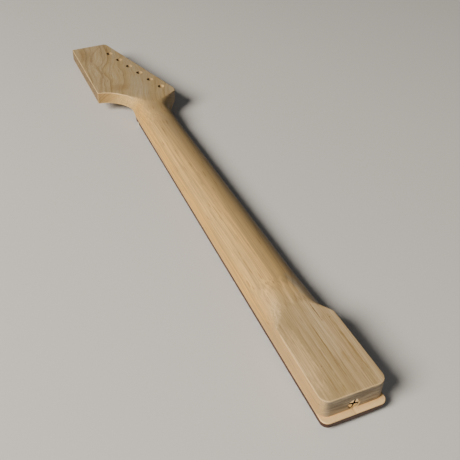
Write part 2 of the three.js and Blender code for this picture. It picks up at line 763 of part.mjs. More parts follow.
add("maple_neck", neckBlank(), maple);
add("fingerboard", fingerboard(), rosewood);
for (let n = 1; n <= fretCount; n++) {
  add(`fret_${String(n).padStart(2, "0")}`, solidOf(fret(n)), nickelSilver);
}
add("string_nut", stringNut(), bone);
for (const marker of markers) {
  const disc = faceDot(marker, faceDotDiameter, dotRecess, faceDotThickness);
  const peg = sideDot(marker, sideDotDiameter, dotRecess, sideDotLength);
  add(`face_dot_${marker.name}`, solidOf(disc), pearl);
  add(`side_dot_${marker.name}`, solidOf(peg), pearl);
}
add("truss_rod", trussRod(), plainSteel);
add("channel_fillet", channelFillet(), maple);
add("rod_anchor", rodAnchor(), plainSteel);
add("rod_washer", washer(), plainSteel);
add("truss_rod_adjuster", adjuster(), nickelPlate);

export default neck;
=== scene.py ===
import math

import bmesh
import bpy
import numpy as np
from mathutils import Matrix, Vector


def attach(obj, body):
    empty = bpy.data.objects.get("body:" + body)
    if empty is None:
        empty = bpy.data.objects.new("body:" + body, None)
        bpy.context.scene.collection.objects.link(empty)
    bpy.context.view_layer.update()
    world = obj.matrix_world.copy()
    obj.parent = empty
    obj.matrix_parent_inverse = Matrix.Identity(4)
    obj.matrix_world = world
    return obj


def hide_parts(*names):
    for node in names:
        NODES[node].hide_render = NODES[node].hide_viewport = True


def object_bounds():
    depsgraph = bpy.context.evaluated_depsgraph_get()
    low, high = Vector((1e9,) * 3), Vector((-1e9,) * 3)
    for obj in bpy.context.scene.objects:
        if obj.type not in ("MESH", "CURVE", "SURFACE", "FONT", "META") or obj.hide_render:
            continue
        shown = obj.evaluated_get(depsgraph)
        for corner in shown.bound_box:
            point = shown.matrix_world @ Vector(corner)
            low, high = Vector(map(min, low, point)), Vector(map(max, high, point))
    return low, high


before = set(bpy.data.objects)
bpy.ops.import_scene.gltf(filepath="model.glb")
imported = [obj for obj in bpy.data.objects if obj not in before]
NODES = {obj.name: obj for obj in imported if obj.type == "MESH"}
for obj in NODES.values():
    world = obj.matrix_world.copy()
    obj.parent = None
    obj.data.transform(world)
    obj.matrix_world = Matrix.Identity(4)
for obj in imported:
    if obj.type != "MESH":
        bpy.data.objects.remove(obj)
cad_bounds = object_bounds()

# Bolt-on electric guitar neck in bare maple, lying on its frets. Metres, +X the bass side,
# +Y from the heel to the headstock, +Z the back of the neck.

MM = 0.001

# Playing face and scale
SCALE_LENGTH = 647.7 * MM
FRETS = 22
BOARD_PAST_LAST_FRET = 10 * MM
BOARD_THICKNESS = 5.8 * MM
BOARD_RADIUS = 305 * MM
BOARD_CORNER = 6 * MM
NUT_WIDTH = 42.6 * MM
HEEL_WIDTH = 56.3 * MM

# Heel
HEEL_THICKNESS = 25.4 * MM
POCKET_LENGTH = 76 * MM
HEEL_CORNER = 8 * MM
TONGUE_LENGTH = 5.2 * MM
TONGUE_THICKNESS = 1 * MM

# Shaft
THICKNESS_AT_FIRST = 20.6 * MM
THICKNESS_AT_OCTAVE = 22 * MM
OCTAVE = 12
SIDE_WALL = 2 * MM
FULLNESS = 2.15

# Where the flat backs of heel and headstock run out in an arch
HEEL_FLAT = 78 * MM
HEEL_ARCH = 35 * MM
HEEL_SWEEP = 1.15
HEEL_RAMP = 28 * MM
HEAD_ARCH_TIP = -5 * MM
TREBLE_ARCH_END = 39 * MM
BASS_ARCH_END = 24.5 * MM
TREBLE_SWEEP = 1.45
BASS_SWEEP = 1.25
HEAD_RAMP = 32 * MM

# Headstock
TOP_PAST_LAST_TUNER = 33.9 * MM
HEAD_THICKNESS = 14.5 * MM
TREBLE_REACH = 57.4 * MM
TREBLE_FLARE_START = 12 * MM
TREBLE_FLARE_RADIUS = 39 * MM
BASS_REACH = 37.4 * MM
BASS_FLARE_START = -1 * MM
BASS_FLARE_RADIUS = 20 * MM
BASS_FLARE_TURN = math.radians(39)
BASS_CORNER = 14 * MM
BASS_LEAN = math.radians(15.9)
TIP_CORNER = 4 * MM
TOP_LEAN = math.radians(4.2)
RAMP_RADIUS = 20 * MM
BOARD_PAST_NUT = 12 * MM

# Tuner holes
TUNERS = 6
TUNER_PITCH = 24.95 * MM
TUNER_LEAN = math.radians(16.5)
TUNER_DIAMETER = 8 * MM
TUNER_PAST_NUT = 41.5 * MM
TUNER_OFF_CENTRE = 23.5 * MM

# Frets and string nut
CROWN_WIDTH = 2.6 * MM
CROWN_HEIGHT = 1.1 * MM
TANG_THICKNESS = 0.5 * MM
TANG_DEPTH = 1.7 * MM
FRET_INSET = 0.25 * MM
FRET_BEVEL = math.radians(35)
SLOT_CLEARANCE = 0.1 * MM
SEAT_GAP = 0.06 * MM
NUT_THICKNESS = 3.2 * MM
NUT_SEAT = 3.2 * MM
NUT_PROUD = 2.5 * MM
NUT_CLEARANCE = 0.1 * MM
NUT_INSET = 0.2 * MM
STRING_SPREAD = 35.4 * MM
STRING_GAUGES = [0.28 * MM, 0.36 * MM, 0.46 * MM, 0.7 * MM, 0.95 * MM, 1.2 * MM]
NOTCH_CLEARANCE = 0.15 * MM
NOTCH_DEPTH = 1.1 * MM
NOTCH_TILT = math.radians(7)

# Position dots
SINGLE_MARKERS = [3, 5, 7, 9, 15, 17, 19, 21]
FACE_DOT = 6.35 * MM
FACE_DOT_THICKNESS = 1.6 * MM
OCTAVE_SPACING = 23 * MM
SIDE_DOT = 2 * MM
SIDE_DOT_LENGTH = 2.6 * MM
SIDE_PAIR_SPACING = 6 * MM
DOT_CLEARANCE = 0.15 * MM
DOT_RECESS = 0.03 * MM

# Truss rod, its adjuster and their bore
ROD_DIAMETER = 4.8 * MM
ROD_ABOVE_FACE = 11.7 * MM
ROD_BOW = 3 * MM
ROD_CLEARANCE = 0.3 * MM
ADJUSTER_DIAMETER = 9.5 * MM
ADJUSTER_LENGTH = 14 * MM
ADJUSTER_RECESS = 0.7 * MM
BORE_DIAMETER = 10.4 * MM
RIM_CHAMFER = 0.5 * MM
CROSS_WIDTH = 1.7 * MM
CROSS_DEPTH = 2.6 * MM
CROSS_TURN = math.radians(15)
WASHER_THICKNESS = 1.6 * MM
PLAY = 0.3 * MM
ANCHOR_DIAMETER = 10 * MM
ANCHOR_HEIGHT = 9 * MM
ANCHOR_BEFORE_NUT = 14 * MM

# Softened edges
BACK_EDGE = 0.8 * MM
ARCH_ROUND = 2.8 * MM
TREBLE_SANDING = 12 * MM
FRONT_EDGE = 0.35 * MM
RIM_EDGE = 0.45 * MM
ROLLED_EDGE = 1.0 * MM
BOARD_EDGE = 0.25 * MM
CROWN_EDGE = 0.15 * MM

# How the solids are worked out: how far cutters run past what they cut, and the rays of the skins
OVERRUN = 1 * MM
BOARD_SPARE = 0.9 * MM
LONGEST_RAY = 30 * MM
HALVINGS = 34
TINY = 1e-9

# Places worked out from the sizes
Y_HEEL = -POCKET_LENGTH / 2
Y_BOARD = Y_HEEL - TONGUE_LENGTH


def fret_distance(n):
    return SCALE_LENGTH * (1 - 2 ** (-n / OCTAVE))


Y_NUT = Y_BOARD + BOARD_PAST_LAST_FRET + fret_distance(FRETS)
Z_FACE = -HEEL_THICKNESS
Z_GLUE = Z_FACE + BOARD_THICKNESS
Z_HEAD = -HEAD_THICKNESS
Z_ROD = Z_FACE + ROD_ABOVE_FACE


def fret_y(n):
    return Y_NUT - fret_distance(n)


def half_width(y):
    return (HEEL_WIDTH + (NUT_WIDTH - HEEL_WIDTH) * (y - Y_BOARD) / (Y_NUT - Y_BOARD)) / 2


def smoothstep(x, low, high):
    t = np.clip((x - low) / (high - low), 0, 1)
    return t * t * (3 - 2 * t)


def tuner_places():
    for i in range(TUNERS):
        x = TUNER_OFF_CENTRE - i * TUNER_PITCH * math.sin(TUNER_LEAN)
        y = Y_NUT + TUNER_PAST_NUT + i * TUNER_PITCH * math.cos(TUNER_LEAN)
        yield x, y


Y_TOP = max(y for _, y in tuner_places()) + TOP_PAST_LAST_TUNER

# The outline of the headstock

Y_TREBLE_FLARE = Y_NUT + TREBLE_FLARE_START
TREBLE_FOOT = half_width(Y_TREBLE_FLARE)
TREBLE_TURN = math.acos((TREBLE_FLARE_RADIUS + TREBLE_FOOT - TREBLE_REACH) / TREBLE_FLARE_RADIUS)
Y_TREBLE_POINT = Y_TREBLE_FLARE + TREBLE_FLARE_RADIUS * math.sin(TREBLE_TURN)

Y_BASS_FLARE = Y_NUT + BASS_FLARE_START
BASS_FOOT = half_width(Y_BASS_FLARE)
FLARE_END = (
    BASS_FOOT + BASS_FLARE_RADIUS * (1 - math.cos(BASS_FLARE_TURN)),
    Y_BASS_FLARE + BASS_FLARE_RADIUS * math.sin(BASS_FLARE_TURN),
)
BASS_CORNER_X = BASS_REACH - BASS_CORNER
CORNER_START_X = BASS_CORNER_X + BASS_CORNER * math.cos(BASS_FLARE_TURN)
CORNER_START_Y = FLARE_END[1] + (CORNER_START_X - FLARE_END[0]) / math.tan(BASS_FLARE_TURN)
BASS_CORNER_Y = CORNER_START_Y + BASS_CORNER * math.sin(BASS_FLARE_TURN)
CORNER_END = (
    BASS_CORNER_X + BASS_CORNER * math.cos(BASS_LEAN),
    BASS_CORNER_Y + BASS_CORNER * math.sin(BASS_LEAN),
)
BASS_TIP_X = CORNER_END[0] - (Y_TOP - CORNER_END[1]) * math.tan(BASS_LEAN)
Y_TREBLE_TIP = Y_TOP - (BASS_TIP_X + TREBLE_REACH) * math.tan(TOP_LEAN)


def arc_side(along, radius):
    return np.sqrt(np.maximum(radius**2 - along**2, 0))


def treble_edge(y):
    flare = -TREBLE_FOOT - TREBLE_FLARE_RADIUS + arc_side(y - Y_TREBLE_FLARE, TREBLE_FLARE_RADIUS)
    edge = np.where(y <= Y_TREBLE_FLARE, -half_width(y), flare)
    return np.where(y >= Y_TREBLE_POINT, -TREBLE_REACH, edge)


def bass_edge(y):
    flare = BASS_FOOT + BASS_FLARE_RADIUS - arc_side(y - Y_BASS_FLARE, BASS_FLARE_RADIUS)
    slant = FLARE_END[0] + (y - FLARE_END[1]) * math.tan(BASS_FLARE_TURN)
    corner = BASS_CORNER_X + arc_side(y - BASS_CORNER_Y, BASS_CORNER)
    plate = CORNER_END[0] - (y - CORNER_END[1]) * math.tan(BASS_LEAN)
    edge = np.where(y <= Y_BASS_FLARE, half_width(y), flare)
    edge = np.where(y > FLARE_END[1], slant, edge)
    edge = np.where(y > CORNER_START_Y, corner, edge)
    return np.where(y > CORNER_END[1], plate, edge)


# Heights of the front and of the back

RAMP_DROP = Z_HEAD - Z_GLUE
Y_RAMP = Y_NUT + BOARD_PAST_NUT
Y_RAMP_END = Y_RAMP + math.sqrt(2 * RAMP_RADIUS * RAMP_DROP - RAMP_DROP**2)
Z_RAMP_CENTRE = Z_HEAD - RAMP_RADIUS


def front_height(y):
    ramp = Z_RAMP_CENTRE + arc_side(y - Y_RAMP_END, RAMP_RADIUS)
    return np.where(y <= Y_RAMP, Z_GLUE, np.where(y >= Y_RAMP_END, Z_HEAD, ramp))


Y_HEEL_ARCH = Y_HEEL + HEEL_FLAT
Y_HEEL_TIP = Y_HEEL_ARCH + HEEL_ARCH
Y_HEAD_TIP = Y_NUT + HEAD_ARCH_TIP
Y_TREBLE_ARCH = Y_NUT + TREBLE_ARCH_END
Y_BASS_ARCH = Y_NUT + BASS_ARCH_END

# A crown as tall as this is a flat back. The treble side's crown gives way to the bass side's over the
# blend, a share of the half width on each side of the middle.
TALLEST_CROWN = 0.5
CROWN_BLEND = 0.3


def flat_share(y, y_full, y_tip, sweep):
    """How much of the half width is flat, from all of it to nothing at the arch's tip."""
    along = np.clip((y - y_full) / (y_tip - y_full), 0, 1)
    return 1 - along**sweep


def crest_height(y):
    """How high the rounded shaft stands along its middle."""
    first = Z_FACE + THICKNESS_AT_FIRST
    octave = Z_FACE + THICKNESS_AT_OCTAVE
    shaft = first + (octave - first) * (y - fret_y(1)) / (fret_y(OCTAVE) - fret_y(1))
    from_heel = smoothstep(y, Y_HEEL_TIP, Y_HEEL_TIP + HEEL_RAMP)
    from_head = 1 - smoothstep(y, Y_HEAD_TIP - HEAD_RAMP, Y_HEAD_TIP)
    return shaft * from_heel * from_head


def crown_height(y, z_side, y_head_arch, head_sweep):
    heel = flat_share(y, Y_HEEL_ARCH, Y_HEEL_TIP, HEEL_SWEEP)
    head = flat_share(y, y_head_arch, Y_HEAD_TIP, head_sweep)
    share = np.where(y < Y_HEEL_TIP, heel, head)
    rise = np.maximum(1 - share**FULLNESS, TINY) ** (1 / FULLNESS)
    crown = np.minimum(z_side - z_side / rise, TALLEST_CROWN)
    return np.where(share <= 0, crest_height(y), crown)


# How far a point lies outside each face of the neck: negative inside, 0 on the face


def round_max(a, b, radius):
    """The larger of two distances, with a fillet of that radius where the two faces meet."""
    corner = np.hypot(np.maximum(a + radius, 0), np.maximum(b + radius, 0))
    return np.minimum(np.maximum(a, b), -radius) + corner


def outside_sides(x, y, z):
    """Distance outside the side walls and the crown between them."""
    treble, bass = treble_edge(y), bass_edge(y)
    half = (bass - treble) / 2
    share = (x - treble) / half - 1
    z_side = front_height(y) + SIDE_WALL
    to_bass = smoothstep(share, -CROWN_BLEND, CROWN_BLEND)
    treble_crown = crown_height(y, z_side, Y_TREBLE_ARCH, TREBLE_SWEEP)
    bass_crown = crown_height(y, z_side, Y_BASS_ARCH, BASS_SWEEP)
    rise = treble_crown + (bass_crown - treble_crown) * to_bass - z_side
    lift = np.maximum(z - z_side, 0) / rise
    across = np.maximum(np.abs(share), TINY)
    reach = np.maximum((across**FULLNESS + lift**FULLNESS) ** (1 / FULLNESS), TINY)
    slope_x = (across / reach) ** (FULLNESS - 1) / half
    slope_z = (lift / reach) ** (FULLNESS - 1) / rise
    step = 0.01 * MM
    edge = np.where(share < 0, treble_edge(y + step) - treble, bass_edge(y + step) - bass) / step
    return (reach - 1) / np.sqrt(slope_x**2 * (1 + edge**2) + slope_z**2)


def outside_point(x, y):
    """Distance outside the headstock's treble flare and straight treble edge."""
    flare = TREBLE_FLARE_RADIUS - np.hypot(
        x + TREBLE_FOOT + TREBLE_FLARE_RADIUS, y - Y_TREBLE_FLARE
    )
    flare = np.where(y < Y_TREBLE_FLARE, -TREBLE_REACH, flare)
    return round_max(flare, -TREBLE_REACH - x, BACK_EDGE)


def outside_top(x, y):
    """Distance outside the slanted top edge."""
    return (y - Y_TOP) * math.cos(TOP_LEAN) - (x - BASS_TIP_X) * math.sin(TOP_LEAN)


def outside_bass_lean(x, y):
    """Distance outside the headstock's slanted bass edge."""
    return (x - BASS_TIP_X) * math.cos(BASS_LEAN) + (y - Y_TOP) * math.sin(BASS_LEAN)


def outside_plan(x, y):
    """Distance outside the sides and the rounded end that the board and the tongue under it share."""
    return round_max(np.abs(x) - half_width(y), Y_BOARD - y, BOARD_CORNER)


def outside_outline(x, y, z):
    """Distance outside everything that bounds the neck sideways and lengthways."""
    sides = outside_sides(x, y, z)
    in_head = y > (Y_TREBLE_FLARE + Y_TREBLE_POINT) / 2
    sides = np.where(in_head, np.maximum(sides, outside_point(x, y)), sides)
    heel = round_max(sides, Y_HEEL - y, HEEL_CORNER)
    top = round_max(sides, outside_top(x, y), BACK_EDGE)
    tip = round_max(outside_bass_lean(x, y), outside_top(x, y), TIP_CORNER)
    return np.where(y < 0, heel, np.where(y > Y_TREBLE_ARCH, np.maximum(top, tip), sides))


def back_edge_radius(x, y):
    """How round the edge of the flat back is: crisp, and sanded softly where the arches run out into the
    shaft, which starts sooner on the heel's treble side."""
    sooner = np.where(x < 0, TREBLE_SANDING, 0)
    done = np.where(x < 0, Y_HEEL_ARCH + TREBLE_SANDING, Y_HEEL_TIP)
    past_heel = smoothstep(y, Y_HEEL_ARCH - sooner, done)
    before_head = 1 - smoothstep(y, Y_HEAD_TIP, Y_BASS_ARCH)
    return BACK_EDGE + (ARCH_ROUND - BACK_EDGE) * past_heel * before_head


def outside_neck(x, y, z):
    outline = outside_outline(x, y, z)
    back = round_max(outline, z, back_edge_radius(x, y))
    front = front_height(y) - z
    front_edge = FRONT_EDGE * smoothstep(y, Y_RAMP, Y_RAMP_END) + TINY
    return round_max(back, front, front_edge)


# Meshes


def new_object(name, vertices, faces):
    mesh = bpy.data.meshes.new(name)
    mesh.from_pydata([tuple(v) for v in vertices], [], faces)
    mesh.update()
    thing = bpy.data.objects.new(name, mesh)
    bpy.context.scene.collection.objects.link(thing)
    return thing


def loft(name, rings):
    """A closed skin over rings of equal length, with one flat face on each end."""
    rings = np.asarray(rings)
    count, around = rings.shape[:2]
    i, j = np.meshgrid(np.arange(count - 1), np.arange(around), indexing="ij")
    k = (j + 1) % around
    quads = np.stack([i * around + j, (i + 1) * around + j, (i + 1) * around + k, i * around + k], -1)
    faces = quads.reshape(-1, 4).tolist()
    faces.append(list(range(around)))
    faces.append(list(range(count * around - 1, (count - 1) * around - 1, -1)))
    thing = new_object(name, rings.reshape(-1, 3), faces)
    outward(thing)
    return thing


def outward(thing):
    bm = bmesh.new()
    bm.from_mesh(thing.data)
    bmesh.ops.recalc_face_normals(bm, faces=bm.faces)
    bm.to_mesh(thing.data)
    bm.free()


def apply_modifiers(thing):
    """Puts the result of the modifiers into the mesh and takes the modifiers off."""
    graph = bpy.context.evaluated_depsgraph_get()
    graph.update()
    mesh = bpy.data.meshes.new_from_object(thing.evaluated_get(graph))
    thing.modifiers.clear()
    old = thing.data
    thing.data = mesh
    bpy.data.meshes.remove(old)
    mesh.name = thing.name
    mesh.materials.clear()


def join_cut(thing, joined=(), cutters=()):
    """Joins some solids to a piece and cuts others out of it."""
    for operation, others in (("UNION", joined), ("DIFFERENCE", cutters)):
        for other in others:
            cut = thing.modifiers.new("cut", "BOOLEAN")
            cut.operation = operation
            cut.solver = "MANIFOLD"
            cut.object = other
    apply_modifiers(thing)
    for other in [*joined, *cutters]:
        bpy.data.objects.remove(other)


def smooth(thing, sharp_over=math.radians(32)):
    """Smooth shading, apart from edges that turn by more than an angle."""
    bm = bmesh.new()
    bm.from_mesh(thing.data)
    for face in bm.faces:
        face.smooth = True
    for edge in bm.edges:
        edge.smooth = len(edge.link_faces) != 2 or edge.calc_face_angle(0) < sharp_over
    bm.to_mesh(thing.data)
    bm.free()
    weighted = thing.modifiers.new("weighted normals", "WEIGHTED_NORMAL")
    weighted.keep_sharp = True
    return thing


EDGE_NEARNESS = "edge_nearness"
HOLE_SHADE_ATTRIBUTE = "painted_hole_shade"
EDGE_FAR = 100 * MM


def mark(thing, label, measure):
    """Writes a measure of its place on each point of a mesh."""
    points = np.empty(len(thing.data.vertices) * 3)
    thing.data.vertices.foreach_get("co", points)
    values = thing.data.attributes.new(label, "FLOAT", "POINT").data
    values.foreach_set("value", measure(*points.reshape(-1, 3).T).astype(np.float32))


def mark_edges(thing, distance):
    """Writes on each point how near it lies to the piece's nearest edge: EDGE_FAR less the distance, so
    that a mesh without these values counts as far from any edge."""
    mark(thing, EDGE_NEARNESS, lambda x, y, z: EDGE_FAR - np.maximum(distance(x, y, z), 0))


def lathe(name, profile, matrix, sides=64):
    """A turned solid: the profile is pairs of a radius and a height, from the axis back to the axis."""
    inner = [p for p in profile if p[0] > TINY]
    turns = np.linspace(0, 2 * math.pi, sides, endpoint=False)
    rings = [[(r * math.cos(t), r * math.sin(t), h) for t in turns] for r, h in inner]
    thing = loft(name, rings)
    thing.data.transform(matrix)
    return thing


def along_y(x, y, z):
    """Stands a turned solid's axis along +Y, with its foot at a place."""
    return Matrix.Translation((x, y, z)) @ Matrix.Rotation(-math.pi / 2, 4, "X")


def cylinder(radius, start, end, matrix, sides=64):
    return lathe("cylinder", [(radius, start), (radius, end)], matrix, sides)


def quarter_round(steps):
    """Steps round a quarter circle of radius 1: from 1 to 0 one way, and from 0 to 1 the other way."""
    return [(1 - math.sin(t), 1 - math.cos(t)) for t in np.linspace(0, math.pi / 2, steps)]


def softened(height, edge):
    """How far in and how high each step of an edge softened with a quarter round is."""
    return [(edge * to, height - edge * away) for away, to in quarter_round(6)]


def flared_hole(radius, low, high, edge):
    """The profile of a drill that leaves a softened rim where it goes in and comes out."""
    rim = [(radius + edge * away, edge * to) for away, to in quarter_round(6)]
    foot = [(r, low + h) for r, h in rim]
    head = [(r, high - h) for r, h in reversed(rim)]
    return [(foot[0][0], low - 2 * edge), *foot, *head, (head[-1][0], high + 2 * edge)]


def ease_edges(thing, sharper_than):
    """Rounds a piece's edges that turn by more than an angle."""
    bevel = thing.modifiers.new("eased edges", "BEVEL")
    bevel.width = CROWN_EDGE
    bevel.segments = 2
    bevel.limit_method = "ANGLE"
    bevel.angle_limit = sharper_than
    apply_modifiers(thing)


# The neck blank


def arc_steps(radius, steps):
    """How far in from a flat end each section of its rounded edge lies."""
    return [radius * (1 - math.cos(t)) for t in np.linspace(0.08, math.pi / 2, steps)]


def spread(low, high, spacing):
    return list(np.linspace(low, high, max(2, round((high - low) / spacing) + 1)))


def thin_out(places, closest=0.03 * MM):
    places = sorted(places)
    kept = [places[0]]
    for y in places[1:]:
        if y - kept[-1] > closest:
            kept.append(y)
    return kept


def stations():
    """Planes across the neck, each a treble and a bass place along it, closer where it changes shape."""
    places = [Y_HEEL + e for e in arc_steps(BACK_EDGE, 6) + arc_steps(HEEL_CORNER, 12)]
    stretches = [
        (Y_HEEL_ARCH - 2 * MM, 6 * MM),
        (Y_HEEL_TIP + 3 * MM, 0.6 * MM),
        (Y_HEEL_TIP + HEEL_RAMP, 2 * MM),
        (Y_HEAD_TIP - HEAD_RAMP, 7 * MM),
        (Y_HEAD_TIP, 2 * MM),
        (Y_TREBLE_ARCH + 2 * MM, 0.5 * MM),
    ]
    low = Y_HEEL + HEEL_CORNER
    for high, spacing in stretches:
        places += spread(low, high, spacing)
        low = high
    turns = np.linspace(math.pi / 4, TREBLE_TURN, 30)
    places += [Y_TREBLE_FLARE + TREBLE_FLARE_RADIUS * math.sin(t) for t in turns]
    places += spread(Y_TREBLE_POINT, Y_TREBLE_POINT + 2 * MM, 0.25 * MM)
    kept = thin_out(places)
    pairs = [(y, y) for y in kept]
    last = kept[-1]
    offsets = sorted(arc_steps(TIP_CORNER, 9) + arc_steps(BACK_EDGE, 6), reverse=True)
    offsets = thin_out(offsets, 0.002 * MM)[::-1]
    down = offsets[0] / math.cos(TOP_LEAN)
    to_treble, to_bass = Y_TREBLE_TIP - down - last, Y_TOP - down - last
    for share in np.linspace(0, 1, 16)[1:]:
        pairs.append((last + to_treble * share, last + to_bass * share))
    for offset in offsets[1:]:
        down = offset / math.cos(TOP_LEAN)
        pairs.append((Y_TREBLE_TIP - down, Y_TOP - down))
    return np.array(pairs)


def ring_rays(across, under):
    """Where each ray of a section starts, as a share from the treble to the bass end of its middle line,
    and which way it goes. More rays lie close to the corners."""
    bunched = np.array([0, 14, 24, 31, 36, 39.5, 42.5, 45, 47.5, 50.5, 54, 59, 66, 76, 90])
    fan = np.radians(bunched)
    upper = np.linspace(0, 1, across)[1:-1]
    lower = np.linspace(0, 1, under)[1:-1]
    rays = [(1, math.cos(a), math.sin(a)) for a in [*-fan[::-1], *fan[1:]]]
    rays += [(s, 0, 1) for s in upper[::-1]]
    rays += [(0, -math.cos(a), math.sin(a)) for a in [*fan[::-1], *-fan[1:]]]
    rays += [(s, 0, -1) for s in lower]
    return np.array(rays)


def drawn_in(past_end, radius):
    """How far a corner rounded in plan draws in a section that lies so far past the flat end."""
    return radius - arc_side(np.maximum(radius - past_end, 0), radius)


def walk_skin(outside, rays, treble, bass, low, high, treble_in, bass_in):
    """Walks each ray of each section from its middle line out to the surface. The sections' treble and
    bass ends are pairs of columns, low and high are the heights that they lie between, and rounded
    corners draw the ends in."""
    (x_treble, y_treble), (x_bass, y_bass) = treble, bass
    middle, inset = (low + high) / 2, (high - low) / 2
    share, out, up = rays[:, 0], rays[:, 1], rays[:, 2]
    length = np.hypot(x_bass - x_treble, y_bass - y_treble)
    unit_x, unit_y = (x_bass - x_treble) / length, (y_bass - y_treble) / length
    along = inset + treble_in + (length - 2 * inset - treble_in - bass_in) * share
    base_x, base_y = x_treble + unit_x * along, y_treble + unit_y * along
    near = np.zeros_like(base_x)
    far = np.full_like(base_x, LONGEST_RAY)
    for _ in range(HALVINGS):
        reach = (near + far) / 2
        x, y, z = base_x + unit_x * out * reach, base_y + unit_y * out * reach, middle + up * reach
        inside = outside(x, y, z) < 0
        near, far = np.where(inside, reach, near), np.where(inside, far, reach)
    return np.stack([x, y, z], -1)


def neck_skin():
    pairs = stations()
    y_treble, y_bass = pairs[:, :1], pairs[:, 1:]
    treble, bass = (treble_edge(y_treble), y_treble), (bass_edge(y_bass), y_bass)
    low, high = front_height(y_bass), np.minimum(crest_height(y_bass), 0)
    at_heel = drawn_in(y_bass - Y_HEEL, HEEL_CORNER)
    at_tip = drawn_in((Y_TOP - y_bass) * math.cos(TOP_LEAN), TIP_CORNER)
    return walk_skin(outside_neck, ring_rays(66, 18), treble, bass, low, high, at_heel, at_heel + at_tip)


def tongue():
    """The thin maple tongue left under the overhanging board, its upper edge softened."""
    y_corner, y_inner = Y_BOARD + BOARD_CORNER, Y_HEEL + 2 * HEEL_CORNER
    x_corner = half_width(y_corner) - BOARD_CORNER
    turns = np.linspace(0, math.pi / 2, 12)
    rings = []
    for inset, height in [(0, 0), *softened(TONGUE_THICKNESS, TONGUE_THICKNESS / 2)]:
        radius = BOARD_CORNER - inset
        right = [(x_corner + radius * math.sin(t), y_corner - radius * math.cos(t)) for t in turns]
        right.append((half_width(y_inner) - inset, y_inner))
        plan = [*right, *[(-x, y) for x, y in reversed(right)]]
        rings.append([(x, y, Z_GLUE + height) for x, y in plan])
    return loft("tongue", rings)


Y_ADJUSTER = Y_HEEL + ADJUSTER_RECESS
Y_BORE_END = Y_ADJUSTER + ADJUSTER_LENGTH + WASHER_THICKNESS + 2 * PLAY
Y_ANCHOR = Y_NUT - ANCHOR_BEFORE_NUT
CHANNEL_WIDTH = ROD_DIAMETER + 2 * ROD_CLEARANCE

# How far along the arches the edge of the flat back fades
ARCH_FADE = 6 * MM

# The tuner holes' walls: how near its radius a point on one lies, how many times deeper than an edge's the
# painted light on its lit half goes, and where painted shade darkens it, as shares of the radius and of the
# depth
ON_WALL = RIM_EDGE / 8
HOLE_LIGHT_FADE = 7
SHADED_SIDE = (-0.4, 0.3)
SHADED_FROM = 0.75


def rod_channel(steps=48):
    """The slot that the rod lies in, deeper towards its middle."""
    rings = []
    for share in np.linspace(0, 1, steps):
        y = Y_BORE_END + (Y_ANCHOR - Y_BORE_END) * share
        roof = Z_ROD + ROD_BOW * math.sin(math.pi * share) ** 2 + CHANNEL_WIDTH / 2
        half, low = CHANNEL_WIDTH / 2, Z_GLUE - OVERRUN
        rings.append([(-half, y, low), (half, y, low), (half, y, roof), (-half, y, roof)])
    return loft("channel", rings)


def drilled_walls(x, y):
    """For each tuner hole, how far a point lies to the bass side of its axis as a share of its radius, and
    whether the point is on its wall."""
    radius = TUNER_DIAMETER / 2
    for x_hole, y_hole in tuner_places():
        yield (x - x_hole) / radius, np.abs(np.hypot(x - x_hole, y - y_hole) - radius) < ON_WALL


def painted_hole_shade(x, y, z):
    """Painted shade on the wall of a tuner hole: its treble half, the half in shadow, darker further in."""
    shade = np.zeros_like(z)
    for side, wall in drilled_walls(x, y):
        shaded = np.clip(SHADED_FROM - z / HEAD_THICKNESS, 0, 1)
        shade = np.where(wall, (1 - smoothstep(side, *SHADED_SIDE)) * shaded, shade)
    return shade


def neck_edge_distance(x, y, z):
    """How far in from the neck's nearest edge a point lies. The bass half of a tuner hole's wall counts as
    edge near its mouth, which paints light on the half of the wall that the light falls on."""
    outline = -outside_outline(x, y, z)
    y_head_arch = np.where(x < 0, Y_TREBLE_ARCH - ARCH_FADE, Y_BASS_ARCH)
    arch = smoothstep(y, Y_HEEL_ARCH - ARCH_FADE, Y_HEEL_ARCH + ARCH_FADE)
    arch *= 1 - smoothstep(y, y_head_arch - ARCH_FADE, y_head_arch)
    blank = np.maximum(outline, np.minimum(-z + ARCH_FADE * arch, z - front_height(y)))
    # painted light on the lit half of each tuner hole's wall
    for side, wall in drilled_walls(x, y):
        blank = np.where(wall & (side > 0), np.minimum(blank, -z / HOLE_LIGHT_FADE), blank)
    tongue = np.maximum(-outside_plan(x, y), np.minimum(Z_GLUE + TONGUE_THICKNESS - z, z - Z_GLUE))
    return np.where(y < Y_HEEL - TINY, tongue, blank)


def neck_blank():
    blank = loft("neck_blank", neck_skin())
    drill = flared_hole(TUNER_DIAMETER / 2, Z_HEAD, 0, RIM_EDGE)
    cutters = [lathe("drill", drill, Matrix.Translation((x, y, 0))) for x, y in tuner_places()]
    bore, rod_hole = along_y(0, Y_HEEL, Z_ROD), along_y(0, Y_BORE_END, Z_ROD)
    seat = Matrix.Translation((0, Y_ANCHOR, Z_GLUE))
    cutters += [
        cylinder(BORE_DIAMETER / 2, -2 * TONGUE_LENGTH, Y_BORE_END - Y_HEEL, bore),
        cylinder(CHANNEL_WIDTH / 2, -OVERRUN, OVERRUN, rod_hole),
        cylinder(ANCHOR_DIAMETER / 2 + ROD_CLEARANCE, -OVERRUN, ANCHOR_HEIGHT + 2 * PLAY, seat),
        rod_channel(),
    ]
    join_cut(blank, [tongue()], cutters)
    mark_edges(blank, neck_edge_distance)
    mark(blank, HOLE_SHADE_ATTRIBUTE, painted_hole_shade)
    return smooth(blank)


# The fingerboard and what is set into it


def outside_face(x, z):
    """Distance outside the playing face."""
    return np.hypot(x, z - Z_FACE - BOARD_RADIUS) - BOARD_RADIUS


def outside_board(x, y, z):
    rolled = round_max(outside_plan(x, y), outside_face(x, z), ROLLED_EDGE)
    return round_max(rolled, z - Z_GLUE, BOARD_EDGE)


def board_edge_distance(x, y, z):
    return np.maximum(-outside_plan(x, y), np.minimum(-outside_face(x, z), Z_GLUE - z))


def face_drop(x):
    return BOARD_RADIUS - np.sqrt(BOARD_RADIUS**2 - x**2)


